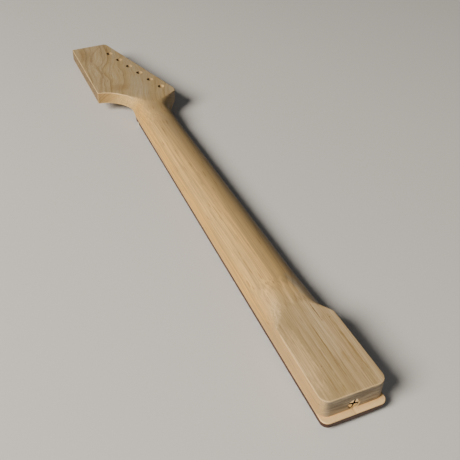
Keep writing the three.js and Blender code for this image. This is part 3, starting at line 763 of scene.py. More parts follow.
def marker_y(fret):
    return (fret_y(fret) + fret_y(fret - 1)) / 2


def markers():
    """The name of each marker, and where its face dot and its side dot are."""
    for fret in SINGLE_MARKERS:
        yield f"{fret}", 0, marker_y(fret), marker_y(fret)
    for side, sign in (("treble", -1), ("bass", 1)):
        y = marker_y(OCTAVE)
        yield f"{OCTAVE}_{side}", sign * OCTAVE_SPACING / 2, y, y + sign * SIDE_PAIR_SPACING / 2


def on_face(x, y):
    """Stands a turned solid on the playing face, its axis pointing into the board."""
    centre = Matrix.Translation((0, y, Z_FACE + BOARD_RADIUS))
    turn = Matrix.Rotation(math.asin(x / BOARD_RADIUS), 4, "Y")
    return centre @ turn @ Matrix.Translation((0, 0, -BOARD_RADIUS))


def in_bass_edge(y):
    """Lays a turned solid into the board's bass edge, its axis pointing into the board."""
    edge = half_width(y)
    z = (Z_GLUE + Z_FACE + face_drop(edge)) / 2
    return Matrix.Translation((edge, y, z)) @ Matrix.Rotation(-math.pi / 2, 4, "Y")


def bar_on_face(name, profile, y, half, bevel=0, steps=29):
    """A bar that follows the playing face across the neck. The profile is pairs of a distance along the
    neck and a height out of the face, and both ends lean inwards as they rise."""
    rings = []
    for share in np.linspace(-1, 1, steps):
        x, lean = half * share, math.tan(bevel) * (share if abs(share) == 1 else 0)
        z = Z_FACE + face_drop(x)
        rings.append([(x - lean * max(0, out), y + dy, z - out) for dy, out in profile])
    return loft(name, rings)


def dot_pocket(diameter, length, matrix, sides=64):
    return cylinder(diameter / 2 + DOT_CLEARANCE, -OVERRUN, length + 2 * DOT_CLEARANCE, matrix, sides)


def fingerboard():
    ends = arc_steps(ROLLED_EDGE, 7) + arc_steps(BOARD_CORNER, 12)
    places = [Y_BOARD + e for e in ends]
    places += spread(Y_BOARD + BOARD_CORNER, Y_RAMP + BOARD_SPARE, 20 * MM)
    y = np.array(thin_out(places))[:, None]
    treble, bass = (-half_width(y), y), (half_width(y), y)
    at_end = drawn_in(y - Y_BOARD, BOARD_CORNER)
    skin = walk_skin(outside_board, ring_rays(18, 34), treble, bass, Z_FACE, Z_GLUE, at_end, at_end)
    board = loft("rosewood_board", skin)
    half_slot = TANG_THICKNESS / 2 + SLOT_CLEARANCE
    depth = TANG_DEPTH + SLOT_CLEARANCE
    slot = [(-half_slot, OVERRUN), (half_slot, OVERRUN), (half_slot, -depth), (-half_slot, -depth)]
    frets = [fret_y(n) for n in range(1, FRETS + 1)]
    cutters = [bar_on_face("slot", slot, y, half_width(y) + OVERRUN) for y in frets]
    low, high = Y_NUT - NUT_CLEARANCE, Y_NUT + NUT_THICKNESS + NUT_CLEARANCE
    top, foot = Z_FACE - OVERRUN, Z_FACE + NUT_SEAT
    seat = [(low, top), (high, top), (high, foot), (low, foot)]
    cutters.append(loft("nut slot", [[(x, y, z) for y, z in seat] for x in (-NUT_WIDTH, NUT_WIDTH)]))
    ramp = Matrix.Translation((-HEEL_WIDTH, Y_RAMP_END, Z_RAMP_CENTRE))
    ramp @= Matrix.Rotation(math.pi / 2, 4, "Y")
    cutters.append(cylinder(RAMP_RADIUS, 0, 2 * HEEL_WIDTH, ramp, 192))
    for _, x, y_face, y_side in markers():
        cutters.append(dot_pocket(FACE_DOT, FACE_DOT_THICKNESS, on_face(x, y_face)))
        cutters.append(dot_pocket(SIDE_DOT, SIDE_DOT_LENGTH, in_bass_edge(y_side), 32))
    join_cut(board, [], cutters)
    mark_edges(board, board_edge_distance)
    return smooth(board)


def fret_wire(n):
    """One fret: a round crown with dressed, bevelled ends, on a thin tang."""
    half = CROWN_WIDTH / 2
    turns = np.linspace(math.radians(8), math.radians(172), 15)
    crown = [(half * math.cos(t), CROWN_HEIGHT * math.sin(t)) for t in turns]
    tang = TANG_THICKNESS / 2
    foot = [(-tang, SEAT_GAP), (-tang, -TANG_DEPTH), (tang, -TANG_DEPTH), (tang, SEAT_GAP)]
    y = fret_y(n)
    profile = [(half, SEAT_GAP), *crown, (-half, SEAT_GAP), *foot]
    wire = bar_on_face(f"fret_wire_{n:02d}", profile, y, half_width(y) - FRET_INSET, FRET_BEVEL)
    ease_edges(wire, sharper_than=math.radians(34))
    mark_edges(wire, lambda x, y, z: half_width(y) - FRET_INSET - np.abs(x))
    return smooth(wire)


def nut_edge_distance(x, y, z):
    """The sum of the two smallest distances from the bar's end, front and top."""
    end = NUT_WIDTH / 2 - NUT_INSET - np.abs(x)
    top = z - (Z_FACE + face_drop(x) - NUT_PROUD)
    return np.sort(np.stack([end, y - Y_NUT, top]), 0)[:2].sum(0)


def bone_nut():
    """The string nut: square to the board, rounded over towards the headstock, with a notch for each
    string."""
    half = NUT_WIDTH / 2 - NUT_INSET
    z_seat = Z_FACE + NUT_SEAT - NUT_CLEARANCE
    back = NUT_THICKNESS / 2
    round_over = [(NUT_THICKNESS - back * away, back * to) for away, to in quarter_round(9)]
    rings = []
    for share in np.linspace(-1, 1, 29):
        x = half * share
        top = Z_FACE + face_drop(x) - NUT_PROUD
        rounded = [(dy, top + dz) for dy, dz in round_over]
        ring = [(0, z_seat), (0, top), *rounded, (NUT_THICKNESS, z_seat)]
        rings.append([(x, Y_NUT + dy, z) for dy, z in ring])
    nut = loft("bone_nut", rings)
    cutters = []
    for i, gauge in enumerate(STRING_GAUGES):
        x = STRING_SPREAD * (i / (len(STRING_GAUGES) - 1) - 1 / 2)
        radius = gauge / 2 + NOTCH_CLEARANCE
        foot = Z_FACE + face_drop(x) - NUT_PROUD + NOTCH_DEPTH - radius
        turns = np.linspace(0, math.pi, 13)
        round_foot = [(radius * math.cos(t), radius * math.sin(t)) for t in turns]
        section = [(radius, -NUT_PROUD), *round_foot, (-radius, -NUT_PROUD)]
        ring = [[(dx, y, dz) for dx, dz in section] for y in (-NUT_THICKNESS, NUT_THICKNESS)]
        notch = loft("notch", ring)
        tilt = Matrix.Rotation(NOTCH_TILT, 4, "X")
        notch.data.transform(Matrix.Translation((x, Y_NUT + NUT_THICKNESS / 2, foot)) @ tilt)
        cutters.append(notch)
    join_cut(nut, [], cutters)
    ease_edges(nut, sharper_than=math.radians(50))
    mark_edges(nut, nut_edge_distance)
    return smooth(nut)


def pearl_dot(name, diameter, length, matrix):
    """A dot sanded flush with what it is set into, its rim just broken."""
    radius, rim = diameter / 2, DOT_RECESS
    profile = [(radius - 3 * rim, DOT_RECESS), (radius, DOT_RECESS + rim), (radius, DOT_RECESS + length)]
    return smooth(lathe(name, profile, matrix, 48), sharp_over=math.radians(20))


def rod_nut():
    """The adjuster: a round nut with a crossed slot in its outer end."""
    radius = ADJUSTER_DIAMETER / 2
    rim = [(radius - inset, -height) for inset, height in reversed(softened(0, RIM_CHAMFER))]
    nut = lathe("rod_nut", [*rim, (radius, ADJUSTER_LENGTH)], along_y(0, Y_ADJUSTER, Z_ROD), 96)
    half_length, half_slot = radius + OVERRUN, CROSS_WIDTH / 2
    turns = np.linspace(0, math.pi, 13)
    foot = [(half_slot * math.cos(t), CROSS_DEPTH - half_slot * (1 - math.sin(t))) for t in turns]
    section = [(half_slot, -OVERRUN), *foot, (-half_slot, -OVERRUN)]
    cutters = []
    for turn in (0, math.pi / 2):
        slot = loft("slot", [[(x, dy, dz) for dz, dy in section] for x in (-half_length, half_length)])
        turned = Matrix.Rotation(CROSS_TURN + turn, 4, "Y")
        slot.data.transform(Matrix.Translation((0, Y_ADJUSTER, Z_ROD)) @ turned)
        cutters.append(slot)
    thread = along_y(0, Y_ADJUSTER, Z_ROD)
    cutters.append(cylinder(CHANNEL_WIDTH / 2, ADJUSTER_LENGTH / 2, ADJUSTER_LENGTH + OVERRUN, thread))
    join_cut(nut, [], cutters)
    mark_edges(nut, lambda x, y, z: np.maximum(radius - np.hypot(x, z - Z_ROD), y - Y_ADJUSTER))
    return smooth(nut)


# Node groups that more than one material uses


def srgb(red, green, blue):
    """A colour as a screen shows it, from 0 to 255, in the linear values that a shader takes."""
    parts = [c / 255 for c in (red, green, blue)]
    return (*[c / 12.92 if c <= 0.04045 else ((c + 0.055) / 1.055) ** 2.4 for c in parts], 1)


def feed(socket, value):
    if isinstance(value, bpy.types.NodeSocket):
        socket.id_data.links.new(value, socket)
    else:
        socket.default_value = value


def new_node(tree, kind, **settings):
    node = tree.nodes.new(kind)
    for name, value in settings.items():
        setattr(node, name, value)
    return node


def add(kind, sockets, **settings):
    """A node in the tree that its sockets' values come from. At least one of them is itself a socket."""
    tree = next(v.id_data for v in sockets.values() if isinstance(v, bpy.types.NodeSocket))
    node = new_node(tree, kind, **settings)
    for key, value in sockets.items():
        feed(node.inputs[key], value)
    return node


def reckon(operation, *values):
    return add("ShaderNodeMath", dict(enumerate(values)), operation=operation).outputs[0]


def times(one, other):
    return reckon("MULTIPLY", one, other)


def vector(operation, *values):
    return add("ShaderNodeVectorMath", dict(enumerate(values)), operation=operation).outputs[0]


def scaled(arrow, size):
    return add("ShaderNodeVectorMath", {0: arrow, "Scale": size}, operation="SCALE").outputs[0]


def length(arrow):
    return add("ShaderNodeVectorMath", {0: arrow}, operation="LENGTH").outputs[1]


def split(arrow):
    return add("ShaderNodeSeparateXYZ", {0: arrow}).outputs


def noise(place, stretch=None, detail=2.0, roughness=0.5, output=0):
    """Smooth noise at a place, which the stretch multiplies first. Output 1 is three noises in one."""
    if stretch is not None:
        place = vector("MULTIPLY", place, stretch)
    sockets = {"Vector": place, "Scale": 1.0, "Detail": detail, "Roughness": roughness}
    return add("ShaderNodeTexNoise", sockets).outputs[output]


def wander(place, stretch, detail=2.0, roughness=0.5):
    """A smooth random shift, each of its parts from -0.5 to 0.5."""
    shift = noise(place, stretch, detail, roughness, output=1)
    return vector("SUBTRACT", shift, (0.5, 0.5, 0.5))


def remap(value, low, high, to_low=0.0, to_high=1.0):
    sockets = {0: value, 1: low, 2: high, 3: to_low, 4: to_high}
    return add("ShaderNodeMapRange", sockets, clamp=True, interpolation_type="SMOOTHSTEP").outputs[0]


def fade(value, low, high, most=1.0):
    """The most up to the low value, and nothing from the high value on."""
    return remap(value, low, high, most, 0.0)


def blend(share, one, other):
    return add("ShaderNodeMix", {0: share, 6: one, 7: other}, data_type="RGBA").outputs[2]


def paint(colour, layers):
    """Lays tones over a colour, one after another. Each layer is a pair of a share and a tone."""
    for share, tone in layers:
        colour = blend(share, colour, tone)
    return colour


def start_group(name, inputs, outputs):
    """A shader node group with named sockets: a place, the inputs with their defaults, and the outputs."""
    tree = bpy.data.node_groups.new(name, "ShaderNodeTree")
    for label, default in {"Place": (0, 0, 0), **inputs}.items():
        kind = "NodeSocketFloat" if isinstance(default, float) else "NodeSocketVector"
        tree.interface.new_socket(label, in_out="INPUT", socket_type=kind).default_value = default
    for label in outputs:
        tree.interface.new_socket(label, in_out="OUTPUT", socket_type="NodeSocketFloat")
    return tree, tree.nodes.new("NodeGroupInput").outputs, tree.nodes.new("NodeGroupOutput").inputs


def use(group, place, **values):
    """Puts a group in the material that its place comes from, and gives its outputs."""
    node = new_node(place.id_data, "ShaderNodeGroup", node_tree=group)
    for label, value in {"place": place, **values}.items():
        feed(node.inputs[label.replace("_", " ").capitalize()], value)
    return node.outputs


RING_UNEVENNESS = 0.7
LATE_WOOD_RISE = 3.5
LATE_WOOD_END = 0.92
YEAR_CONTRAST = 1.4
TINT_PACE = 0.6


def growth_rings():
    """Year rings round a pith line: late wood is the dark edge of each ring, its strength differs from
    year to year, and the rings waver along the grain."""
    inputs = {"Pith": (0, 0, 0), "Lean": (0, 0, 0), "Ring width": 0.002, "Waver": 0.002, "Density": 1.0}
    tree, given, out = start_group("growth rings", inputs, ["Late wood", "Tint"])
    place = given["Place"]
    drift = scaled(wander(place, (26, 7, 26), 3.0, 0.55), given["Waver"])
    pith = vector("ADD", given["Pith"], scaled(given["Lean"], split(place)[1]))
    from_pith = vector("SUBTRACT", vector("ADD", place, drift), pith)
    radius = length(vector("MULTIPLY", from_pith, (1, 0, 1)))
    depth = reckon("ABSOLUTE", split(given["Pith"])[2])
    years = reckon("DIVIDE", reckon("SUBTRACT", radius, depth), given["Ring width"])
    years = times(years, given["Density"])
    years = reckon("MULTIPLY_ADD", noise(place, (60, 4, 60)), RING_UNEVENNESS, years)
    season = reckon("FRACT", years)
    rise = reckon("POWER", season, LATE_WOOD_RISE)
    late = times(rise, fade(season, LATE_WOOD_END, 1.0))
    year = {"W": reckon("FLOOR", years)}
    strength = add("ShaderNodeTexWhiteNoise", year, noise_dimensions="1D").outputs[0]
    feed(out["Late wood"], times(late, reckon("POWER", strength, YEAR_CONTRAST)))
    sockets = {"W": times(years, TINT_PACE), "Scale": 1.0, "Detail": 1.0}
    feed(out["Tint"], add("ShaderNodeTexNoise", sockets, noise_dimensions="1D").outputs[0])
    return tree


def long_fibres():
    """Fine fibres, broader streaks and short dark flecks, all drawn out along the grain."""
    inputs = {"Across": 1500.0, "Along": 45.0}
    tree, given, out = start_group("long fibres", inputs, ["Fibre", "Streak", "Fleck"])
    kinds = (("Fibre", 1.0, 1.0, 3.0), ("Streak", 0.28, 0.45, 2.0), ("Fleck", 0.55, 3.0, 1.0))
    for label, wide, long, detail in kinds:
        x, y = times(given["Across"], wide), times(given["Along"], long)
        scale = add("ShaderNodeCombineXYZ", {0: x, 1: y, 2: x}).outputs[0]
        grain = noise(given["Place"], scale, detail, 0.6)
        feed(out[label], remap(grain, 0.64, 0.74) if label == "Fleck" else grain)
    return tree


def pale_edges_and_highlights():
    """Where an edge was eased with sandpaper and so is a little paler, which also paints a highlight along
    the edges. The mesh holds how far each point lies from its nearest edge."""
    tree, given, out = start_group("eased edges", {"Reach": 0.001}, ["Edge"])
    nearness = new_node(tree, "ShaderNodeAttribute", attribute_name=EDGE_NEARNESS).outputs["Fac"]
    distance = reckon("SUBTRACT", EDGE_FAR, nearness)
    broken = reckon("ADD", noise(given["Place"], (300, 60, 300)), 0.6)
    share = reckon("DIVIDE", distance, times(given["Reach"], broken))
    feed(out["Edge"], fade(share, 0.35, 1.0))
    return tree


def handling():
    """Broad, soft unevenness from handling and from the light in the wood or metal itself."""
    tree, given, out = start_group("handling", {"Size": 0.05}, ["Blotch", "Smudge"])
    place = scaled(given["Place"], reckon("DIVIDE", 1.0, given["Size"]))
    feed(out["Blotch"], noise(place, (1, 0.35, 1)))
    smudge = noise(place, (2.3, 1.7, 2.3), 4.0, 0.6)
    feed(out["Smudge"], remap(smudge, 0.45, 0.7))
    return tree


def fine_scratches():
    """Fine marks that a file or polishing cloth leaves in metal, bone and pearl, mostly one way."""
    tree, given, out = start_group("fine scratches", {"Across": 4000.0}, ["Scratch"])
    across = given["Across"]
    scale = {0: times(across, 0.04), 1: across, 2: across}
    scale = add("ShaderNodeCombineXYZ", scale).outputs[0]
    feed(out["Scratch"], noise(given["Place"], scale, 3.0, 0.65))
    return tree


RINGS, FIBRES, EDGES = growth_rings(), long_fibres(), pale_edges_and_highlights()
HANDLING, SCRATCHES = handling(), fine_scratches()


# Materials

# The maple's grain past the nut: how far the tree bent, how softly that sets in, how far its grain curls
# and how its rings fan out
CROOK_LEAN = 0.28
CROOK_EASE = 60 * MM
CURL_REACH = 20 * MM
RING_FAN = 11

# Its tones: how the painted light and shade across the shaft lean and from where, how much of the treble
# side's honey, partly painted warm light where it faces the light, shows in the flare and at the heel's
# corner, where the tongue ends, and how far up the end grain's bands go on getting darker, as painted shade
SHAFT_LIGHT_LEAN = 0.055
Y_MID_SHAFT = 200 * MM
FLARE_SHOWS = 0.7
CORNER_SHOWS = 0.2
Z_TONGUE = Z_GLUE + TONGUE_THICKNESS
Z_END_WALL_SHADE = Z_GLUE + 0.6 * HEEL_THICKNESS

# How deep the painted shade in the adjuster's cross slot starts
SLOT_SHADE_DEPTH = 0.9 * MM

# Marks in the maple of the back, and patches of painted light: the middle of each and its half width and
# half length, in mm, how far it leans for each unit of length, its strength and its tone
OLIVE, UMBER, BROWN, BUFF = srgb(132, 108, 60), srgb(96, 70, 42), srgb(122, 92, 58), srgb(236, 200, 146)
STAINS_AND_PAINTED_LIGHT = [
    # painted light: the heel back paler towards its treble side, where the light falls
    ((-22, 4), (13, 50), 0, 0.7, BUFF),
    ((17, 12), (11, 60), 0, 0.35, srgb(180, 146, 98)),
    ((10, -5), (5, 10), 0, 0.45, srgb(160, 132, 80)),
    ((-6.5, -32), (3.5, 7), 0, 0.5, srgb(160, 136, 80)),
    ((20.1, 0), (1.5, 48), -0.01, 0.75, OLIVE),
    ((11.8, 46), (1, 19), 0, 0.85, UMBER),
    ((10.6, -8), (0.9, 36), 0.02, 0.6, OLIVE),
    ((1.2, 0), (1, 56), 0, 0.8, OLIVE),
    ((-5.8, 0), (1.4, 54), 0.01, 0.65, OLIVE),
    ((-12.2, -20), (0.8, 24), 0, 0.6, OLIVE),
    ((-12, -7), (0.7, 1.4), 0, 0.8, UMBER),
    ((19.9, 35.6), (0.7, 1.1), 0, 0.7, UMBER),
    ((-43.5, 517), (3.2, 44), 0.28, 0.55, BROWN),
    ((-39, 553), (3, 34), -0.12, 0.45, BROWN),
    ((-38, 588), (3.2, 34), 0.3, 0.5, BROWN),
    ((-27.5, 610), (2, 24), 0.7, 0.4, BROWN),
    ((-24, 548), (2, 44), 0.3, 0.35, BROWN),
    ((-48, 598), (5, 44), 0.1, 0.3, BROWN),
    ((-44, 596), (13, 32), 0, 0.3, BROWN),
    ((-25, 490), (22, 16), 0, 0.45, BROWN),
    # painted sheen: a grey patch on the bass flank just past the heel's arch, standing in for a faint light
    # from the bass side
    ((14, 84), (6, 24), -0.08, 0.75, srgb(166, 158, 142)),
]

# Tones of the treble side from the heel on, partly the wood's own and partly painted warm light where it
# faces the light: where each takes over, and its colour
SIDE_TONES = [
    (Y_HEEL_ARCH, Y_HEEL_TIP, srgb(198, 148, 56)),
    (Y_NUT + 8 * MM, Y_NUT + 26 * MM, srgb(216, 176, 102)),
    (Y_NUT + 38 * MM, Y_NUT + 50 * MM, srgb(180, 138, 68)),
    (Y_NUT + 50 * MM, Y_NUT + 56 * MM, srgb(84, 62, 32)),
]


def start_material(name, **constants):
    """A material with one Principled shader, its plain values set on the shader's own sockets."""
    material = bpy.data.materials.new(name)
    material.use_nodes = True
    tree = material.node_tree
    shader = tree.nodes["Principled BSDF"]
    for label, value in constants.items():
        shader.inputs[label.replace("_", " ")].default_value = value
    return material, shader.inputs, new_node(tree, "ShaderNodeTexCoord").outputs["Object"]


def surface(shader, colour, roughness, height, depth):
    """Joins a colour, a roughness and a relief of some depth to the shader."""
    relief = add("ShaderNodeBump", {"Height": height, "Distance": depth, "Strength": 1.0})
    feed(shader["Base Color"], colour)
    feed(shader["Roughness"], roughness)
    feed(shader["Normal"], relief.outputs[0])


def facing_of(place):
    """The three parts of the direction that the surface faces."""
    return split(new_node(place.id_data, "ShaderNodeTexCoord").outputs["Normal"])


def end_grain(place):
    """1 where the saw cut straight across the grain at the heel and at the tip, and 0 along the grain."""
    facing = facing_of(place)[1]
    _, y, z = split(place)
    at_heel = times(fade(facing, -0.97, -0.65), fade(y, 0.0, 0.01))
    at_heel = times(at_heel, remap(z, Z_TONGUE, Z_TONGUE + TONGUE_THICKNESS))
    return reckon("MAXIMUM", at_heel, remap(facing, 0.7, 0.95))


def lit_and_shaded_sides(place):
    """Two masks, each 1 on one side of the neck: the treble side, which faces the light, and the bass side,
    which faces away from it and is painted with shade."""
    facing, forward, _ = facing_of(place)
    in_flare = reckon("MULTIPLY_ADD", forward, FLARE_SHOWS, facing)
    past_corner = remap(split(place)[1], Y_HEEL, Y_HEEL + HEEL_CORNER, CORNER_SHOWS, 1.0)
    return times(fade(in_flare, -0.95, -0.3), past_corner), remap(facing, 0.05, 0.8)


def follow_grain(place):
    """The place in straight wood that each point was at before the tree bent and its grain curled, from
    the string nut to the tip. Also how far past the nut each point lies."""
    past = reckon("SUBTRACT", split(place)[1], Y_NUT)
    past = reckon("SMOOTH_MAX", past, 0.0, CROOK_EASE)
    bend = scaled((1, 0, 0), times(past, CROOK_LEAN))
    curl = vector("MULTIPLY", wander(place, (19, 17, 19)), (1, 0, 0.4))
    curl = scaled(curl, remap(past, 0.0, 0.1, 0.0, CURL_REACH))
    return vector("ADD", vector("SUBTRACT", place, bend), curl), past


def stain_and_painted_light(place, centre, reach, lean):
    """A soft-edged patch of a given half width and half length, seen on the back: a mark in the wood, and
    for some, painted light.
    """
    away = vector("SUBTRACT", place, (*[c * MM for c in centre], 0))
    away = vector("SUBTRACT", away, scaled((lean, 0, 0), split(away)[1]))
    away = vector("DIVIDE", away, (*[r * MM for r in reach], 1))
    away = length(vector("MULTIPLY", away, (1, 1, 0)))
    rough = noise(place, (500, 160, 500))
    return fade(reckon("ADD", away, rough), 0.7, 1.4)


def raw_maple():
    """Bare maple: cream on the shaft and greyer on the headstock, with the marks that its back shows, and
    with painted light and shade on the shaft, its sides, end grain, tuner holes, tongue and edges.
    """
    material, shader, place = start_material("raw maple", Specular_IOR_Level=0.35)
    x, y, z = split(place)
    straight, past = follow_grain(place)
    density = reckon("DIVIDE", 1.0, reckon("MULTIPLY_ADD", past, RING_FAN, 1.0))
    heart = {"pith": (-0.024, 0, -0.062), "lean": (0.012, 0, 0.006)}
    rings = use(RINGS, straight, ring_width=0.0018, waver=0.003, density=density, **heart)
    fibres = use(FIBRES, straight, across=1200.0, along=14.0)
    edge = use(EDGES, place)["Edge"]
    blotch, smudge = use(HANDLING, place, size=0.06)

    # The body of the wood, with painted light and shade across the shaft
    # painted light and shade: the shaft paler cream on its treble side, where the light falls, and darker
    # towards its bass side, in shade
    across = reckon("MULTIPLY_ADD", reckon("SUBTRACT", y, Y_MID_SHAFT), SHAFT_LIGHT_LEAN, x)
    painted_shaft_light = blend(remap(across, -10 * MM, 18 * MM), srgb(248, 198, 116), srgb(150, 127, 92))
    greyed = blend(remap(blotch, 0.4, 0.6), srgb(178, 162, 132), srgb(170, 152, 120))
    colour = paint(srgb(208, 182, 142), [
        (remap(blotch, 0.35, 0.65), srgb(196, 168, 124)),
        (remap(y, Y_HEEL_ARCH, Y_HEEL_TIP + HEEL_RAMP, 0.0, 0.8), painted_shaft_light),
        (remap(past, 0.012, 0.034, 0.0, 0.9), greyed),
        (remap(rings["Tint"], 0.42, 0.68, 0.0, 0.6), srgb(172, 146, 98)),
        (times(smudge, 0.25), srgb(168, 146, 102)),
    ])

    waver = remap(past, 0.0, 0.05, 0.0008, 0.004)
    wavering = vector("ADD", place, scaled(wander(place, (50, 45, 50), 1.0), waver))
    for centre, reach, lean, share, tone in STAINS_AND_PAINTED_LIGHT:
        colour = blend(times(stain_and_painted_light(wavering, centre, reach, lean), share), colour, tone)

    # The sides with painted warm light and painted shade, the fibres, the bands of the end grain with
    # painted shade, painted shade in the tuner holes, painted light on the tongue, and paler eased edges
    # with a painted highlight
    treble_side, bass_side = lit_and_shaded_sides(place)
    # the treble side's honey: partly the wood's own tones, partly painted warm light on the side that faces
    # the light
    honey = paint(srgb(184, 138, 64), [(remap(y, *ends), tone) for *ends, tone in SIDE_TONES])
    bands = noise(place, (45, 0, 520))
    # painted shade: the end grain's bands darker up towards the back, lighter near the tongue
    bands = reckon("ADD", bands, remap(z, Z_GLUE, Z_END_WALL_SHADE, 0.12, -0.06))
    bands = blend(remap(bands, 0.38, 0.62), srgb(102, 93, 80), srgb(152, 140, 120))
    shade_in_holes = new_node(place.id_data, "ShaderNodeAttribute", attribute_name=HOLE_SHADE_ATTRIBUTE).outputs["Fac"]
    # painted light: the tongue's top paler, where the light falls on it
    painted_tongue_light = fade(z, Z_TONGUE, Z_TONGUE + 0.6 * TONGUE_THICKNESS)
    colour = paint(colour, [
        (times(treble_side, remap(past, 0.05, 0.056, 0.65, 0.9)), honey),
        # painted shade: the bass side darker, as it faces away from the light
        (times(bass_side, 0.6), srgb(108, 93, 74)),
        (remap(fibres["Streak"], 0.42, 0.7, 0.0, 0.4), srgb(160, 132, 88)),
        (remap(fibres["Fibre"], 0.42, 0.62, 0.0, 0.6), srgb(156, 132, 92)),
        (times(fibres["Fleck"], 0.5), srgb(120, 92, 56)),
        (times(end_grain(place), 0.85), bands),
        (times(rings["Late wood"], remap(past, 0.0, 0.05, 0.6, 0.85)), srgb(106, 80, 44)),
        # painted shade in the tuner holes
        (shade_in_holes, srgb(52, 32, 14)),
        (times(painted_tongue_light, fade(y, Y_HEEL, Y_HEEL + HEEL_CORNER, 0.75)), srgb(248, 202, 136)),
        # paler eased edges, partly the wood's own and partly a painted highlight, stronger on the bass
        # side, where it stands in for a light from that side
        (times(edge, reckon("MULTIPLY_ADD", bass_side, 0.5, 0.45)), srgb(242, 208, 152)),
    ])
    roughness = remap(fibres["Fibre"], 0.3, 0.7, 0.46, 0.6)
    height = reckon("ADD", times(fibres["Fibre"], 0.6), rings["Late wood"])
    surface(shader, colour, roughness, height, 0.06 * MM)
    return material


def oiled_rosewood():
    material, shader, place = start_material("oiled rosewood", Specular_IOR_Level=0.4)
    heart = {"pith": (0.03, 0, 0.05), "lean": (-0.02, 0, 0.004)}
    rings = use(RINGS, place, ring_width=0.0016, waver=0.003, **heart)
    fibres = use(FIBRES, place, across=1100.0, along=60.0)
    edge = use(EDGES, place)["Edge"]
    blotch = use(HANDLING, place, size=0.04)["Blotch"]
    colour = paint(srgb(62, 37, 27), [
        (remap(blotch, 0.35, 0.65), srgb(46, 28, 22)),
        (remap(rings["Tint"], 0.45, 0.7, 0.0, 0.5), srgb(78, 47, 32)),
        (times(rings["Late wood"], 0.8), srgb(26, 15, 13)),
        (remap(fibres["Streak"], 0.42, 0.7, 0.0, 0.55), srgb(84, 50, 35)),
        (times(fibres["Fleck"], 0.9), srgb(18, 11, 10)),
        (times(edge, 0.3), srgb(86, 55, 41)),
    ])
    roughness = remap(fibres["Fibre"], 0.3, 0.7, 0.42, 0.62)
    height = reckon("SUBTRACT", times(fibres["Fibre"], 0.5), fibres["Fleck"])
    surface(shader, colour, roughness, height, 0.12 * MM)
    return material


def polished_metal(name, bright, dull, polish, across, shade_from=None):
    """Metal with fine marks. The polish is its roughness where it shines and where it is marked, and
    painted shade darkens it past a place along the neck."""
    material, shader, place = start_material(name, Metallic=1.0)
    scratch = use(SCRATCHES, place, across=across)["Scratch"]
    smudge = use(HANDLING, place, size=0.012)["Smudge"]
    edge = use(EDGES, place)["Edge"]
    colour = paint(bright, [(smudge, dull), (times(edge, 0.4), bright)])
    if shade_from is not None:
        # painted shade down in the cross slot and inside the bore
        slot_shade = remap(split(place)[1], shade_from, shade_from + SLOT_SHADE_DEPTH, 0.0, 0.95)
        colour = blend(slot_shade, colour, srgb(30, 24, 18))
    rough = remap(scratch, 0.35, 0.7, *polish)
    surface(shader, colour, reckon("ADD", rough, times(smudge, 0.12)), scratch, 0.01 * MM)
    return material


def polished_bone():
    material, shader, place = start_material("polished bone", Specular_IOR_Level=0.5)
    fibres = use(FIBRES, place, across=900.0, along=300.0)
    scratch = use(SCRATCHES, place)["Scratch"]
    edge = use(EDGES, place)["Edge"]
    colour = paint(srgb(238, 229, 206), [
        (fibres["Streak"], srgb(222, 208, 176)),
        (times(fibres["Fleck"], 0.5), srgb(186, 166, 130)),
        (times(edge, 0.4), srgb(246, 240, 222)),
    ])
    surface(shader, colour, remap(scratch, 0.35, 0.7, 0.25, 0.42), scratch, 0.01 * MM)
    return material


def pearl():
    material, shader, place = start_material("pearl", Specular_IOR_Level=0.6, Coat_Roughness=0.1)
    swirl = noise(place, (200, 160, 200), output=1)
    swirl = vector("ADD", vector("MULTIPLY", place, (420, 300, 420)), swirl)
    layers = noise(swirl, None, 4.0, 0.6)
    scratch = use(SCRATCHES, place)["Scratch"]
    smudge = use(HANDLING, place, size=0.004)["Smudge"]
    colour = paint(srgb(250, 246, 232), [
        (remap(layers, 0.35, 0.65), srgb(178, 186, 186)),
        (times(smudge, 0.5), srgb(226, 204, 190)),
    ])
    surface(shader, colour, remap(scratch, 0.35, 0.7, 0.15, 0.3), layers, 0.02 * MM)
    feed(shader["Coat Weight"], remap(layers, 0.3, 0.7, 0.3, 0.7))
    return material


MAPLE, ROSEWOOD, BONE, PEARL = raw_maple(), oiled_rosewood(), polished_bone(), pearl()
FRET_METAL = polished_metal("fret wire", srgb(226, 222, 212), srgb(186, 180, 168), (0.16, 0.34), 3000.0)
NICKEL = polished_metal(
    "nickel plate", srgb(250, 244, 230), srgb(206, 196, 176), (0.2, 0.4), 2200.0, shade_from=Y_ADJUSTER
)
STEEL = polished_metal("rod steel", srgb(160, 160, 162), srgb(112, 108, 104), (0.3, 0.5), 1600.0)


# The pieces, each finished and set on the body that carries it


def finish(thing, material, slot, body, *nodes):
    thing.data.materials.append(material)
    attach(thing, body)
    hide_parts(*nodes)


finish(neck_blank(), MAPLE, "maple", "neck", "maple_neck")
finish(fingerboard(), ROSEWOOD, "rosewood", "neck", "fingerboard")
for n in range(1, FRETS + 1):
    finish(fret_wire(n), FRET_METAL, "fret_wire", "neck", f"fret_{n:02d}")
finish(bone_nut(), BONE, "bone", "neck", "string_nut")
for name, x, y_face, y_side in markers():
    face = pearl_dot(f"pearl_face_{name}", FACE_DOT, FACE_DOT_THICKNESS, on_face(x, y_face))
    side = pearl_dot(f"pearl_side_{name}", SIDE_DOT, SIDE_DOT_LENGTH, in_bass_edge(y_side))
    finish(face, PEARL, "pearl", "neck", f"face_dot_{name}")
    finish(side, PEARL, "pearl", "neck", f"side_dot_{name}")
finish(rod_nut(), NICKEL, "nickel_plate", "adjuster", "truss_rod_adjuster")
for node in ("truss_rod", "rod_anchor", "rod_washer"):
    NODES[node].material_slots[0].material = STEEL
NODES["channel_fillet"].material_slots[0].material = MAPLE


# Camera at the photograph's viewing angle, soft studio light and a pale floor

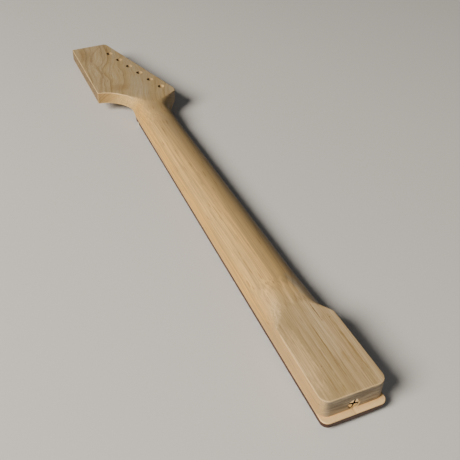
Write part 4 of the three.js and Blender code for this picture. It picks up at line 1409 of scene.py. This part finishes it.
PHOTO_WIDTH = 460
PHOTO_FOCAL = 660.9
SENSOR = 36
CAMERA_PLACE = Vector((-211.5, -274.1, 394.1)) * MM
CAMERA_AIM = Vector((-11.1, 169.7, 0)) * MM
CAMERA_ROLL = math.radians(1.47)
FLOOR_REACH = 4


def photo_camera():
    data = bpy.data.cameras.new("photo_camera")
    data.sensor_width = SENSOR
    data.lens = SENSOR * PHOTO_FOCAL / PHOTO_WIDTH
    data.clip_start = 10 * MM
    camera = bpy.data.objects.new("photo_camera", data)
    bpy.context.scene.collection.objects.link(camera)
    look = (CAMERA_AIM - CAMERA_PLACE).to_track_quat("-Z", "Y").to_matrix().to_4x4()
    roll = Matrix.Rotation(CAMERA_ROLL, 4, "Z")
    camera.matrix_world = Matrix.Translation(CAMERA_PLACE) @ look @ roll
    bpy.context.scene.camera = camera


def softbox(name, place, size, power, colour):
    """A round soft light that looks at the middle of the neck."""
    data = bpy.data.lights.new(name, "AREA")
    data.shape = "DISK"
    data.size = size
    data.energy = power
    data.color = colour
    light = bpy.data.objects.new(name, data)
    bpy.context.scene.collection.objects.link(light)
    look = (Vector((0, (Y_NUT + Y_HEEL) / 2, 0)) - Vector(place)).to_track_quat("-Z", "Y")
    light.matrix_world = Matrix.Translation(place) @ look.to_matrix().to_4x4()


def studio():
    key, fill = (-2.5, -0.4, 1.9), (-0.5, -1.5, 0.9)
    softbox("key_softbox", key, size=1.6, power=190, colour=(1.0, 0.93, 0.83))
    softbox("fill_softbox", fill, size=1.2, power=3, colour=(0.96, 0.98, 1.0))
    world = bpy.data.worlds.new("studio")
    world.use_nodes = True
    bpy.context.scene.world = world
    background = world.node_tree.nodes["Background"].inputs
    background["Color"].default_value = (0.94, 0.96, 1.0, 1)
    background["Strength"].default_value = 0.06


def pale_floor():
    turns = ((-1, -1), (1, -1), (1, 1), (-1, 1))
    corners = [(x * FLOOR_REACH, y * FLOOR_REACH, cad_bounds[0][2]) for x, y in turns]
    floor = new_object("floor", corners, [[0, 1, 2, 3]])
    material, shader, place = start_material("pale floor", Specular_IOR_Level=0.2, Roughness=0.8)
    uneven = use(HANDLING, place, size=0.5)["Blotch"]
    feed(shader["Base Color"], blend(uneven, srgb(206, 204, 200), srgb(212, 210, 207)))
    floor.data.materials.append(material)


photo_camera()
studio()
pale_floor()
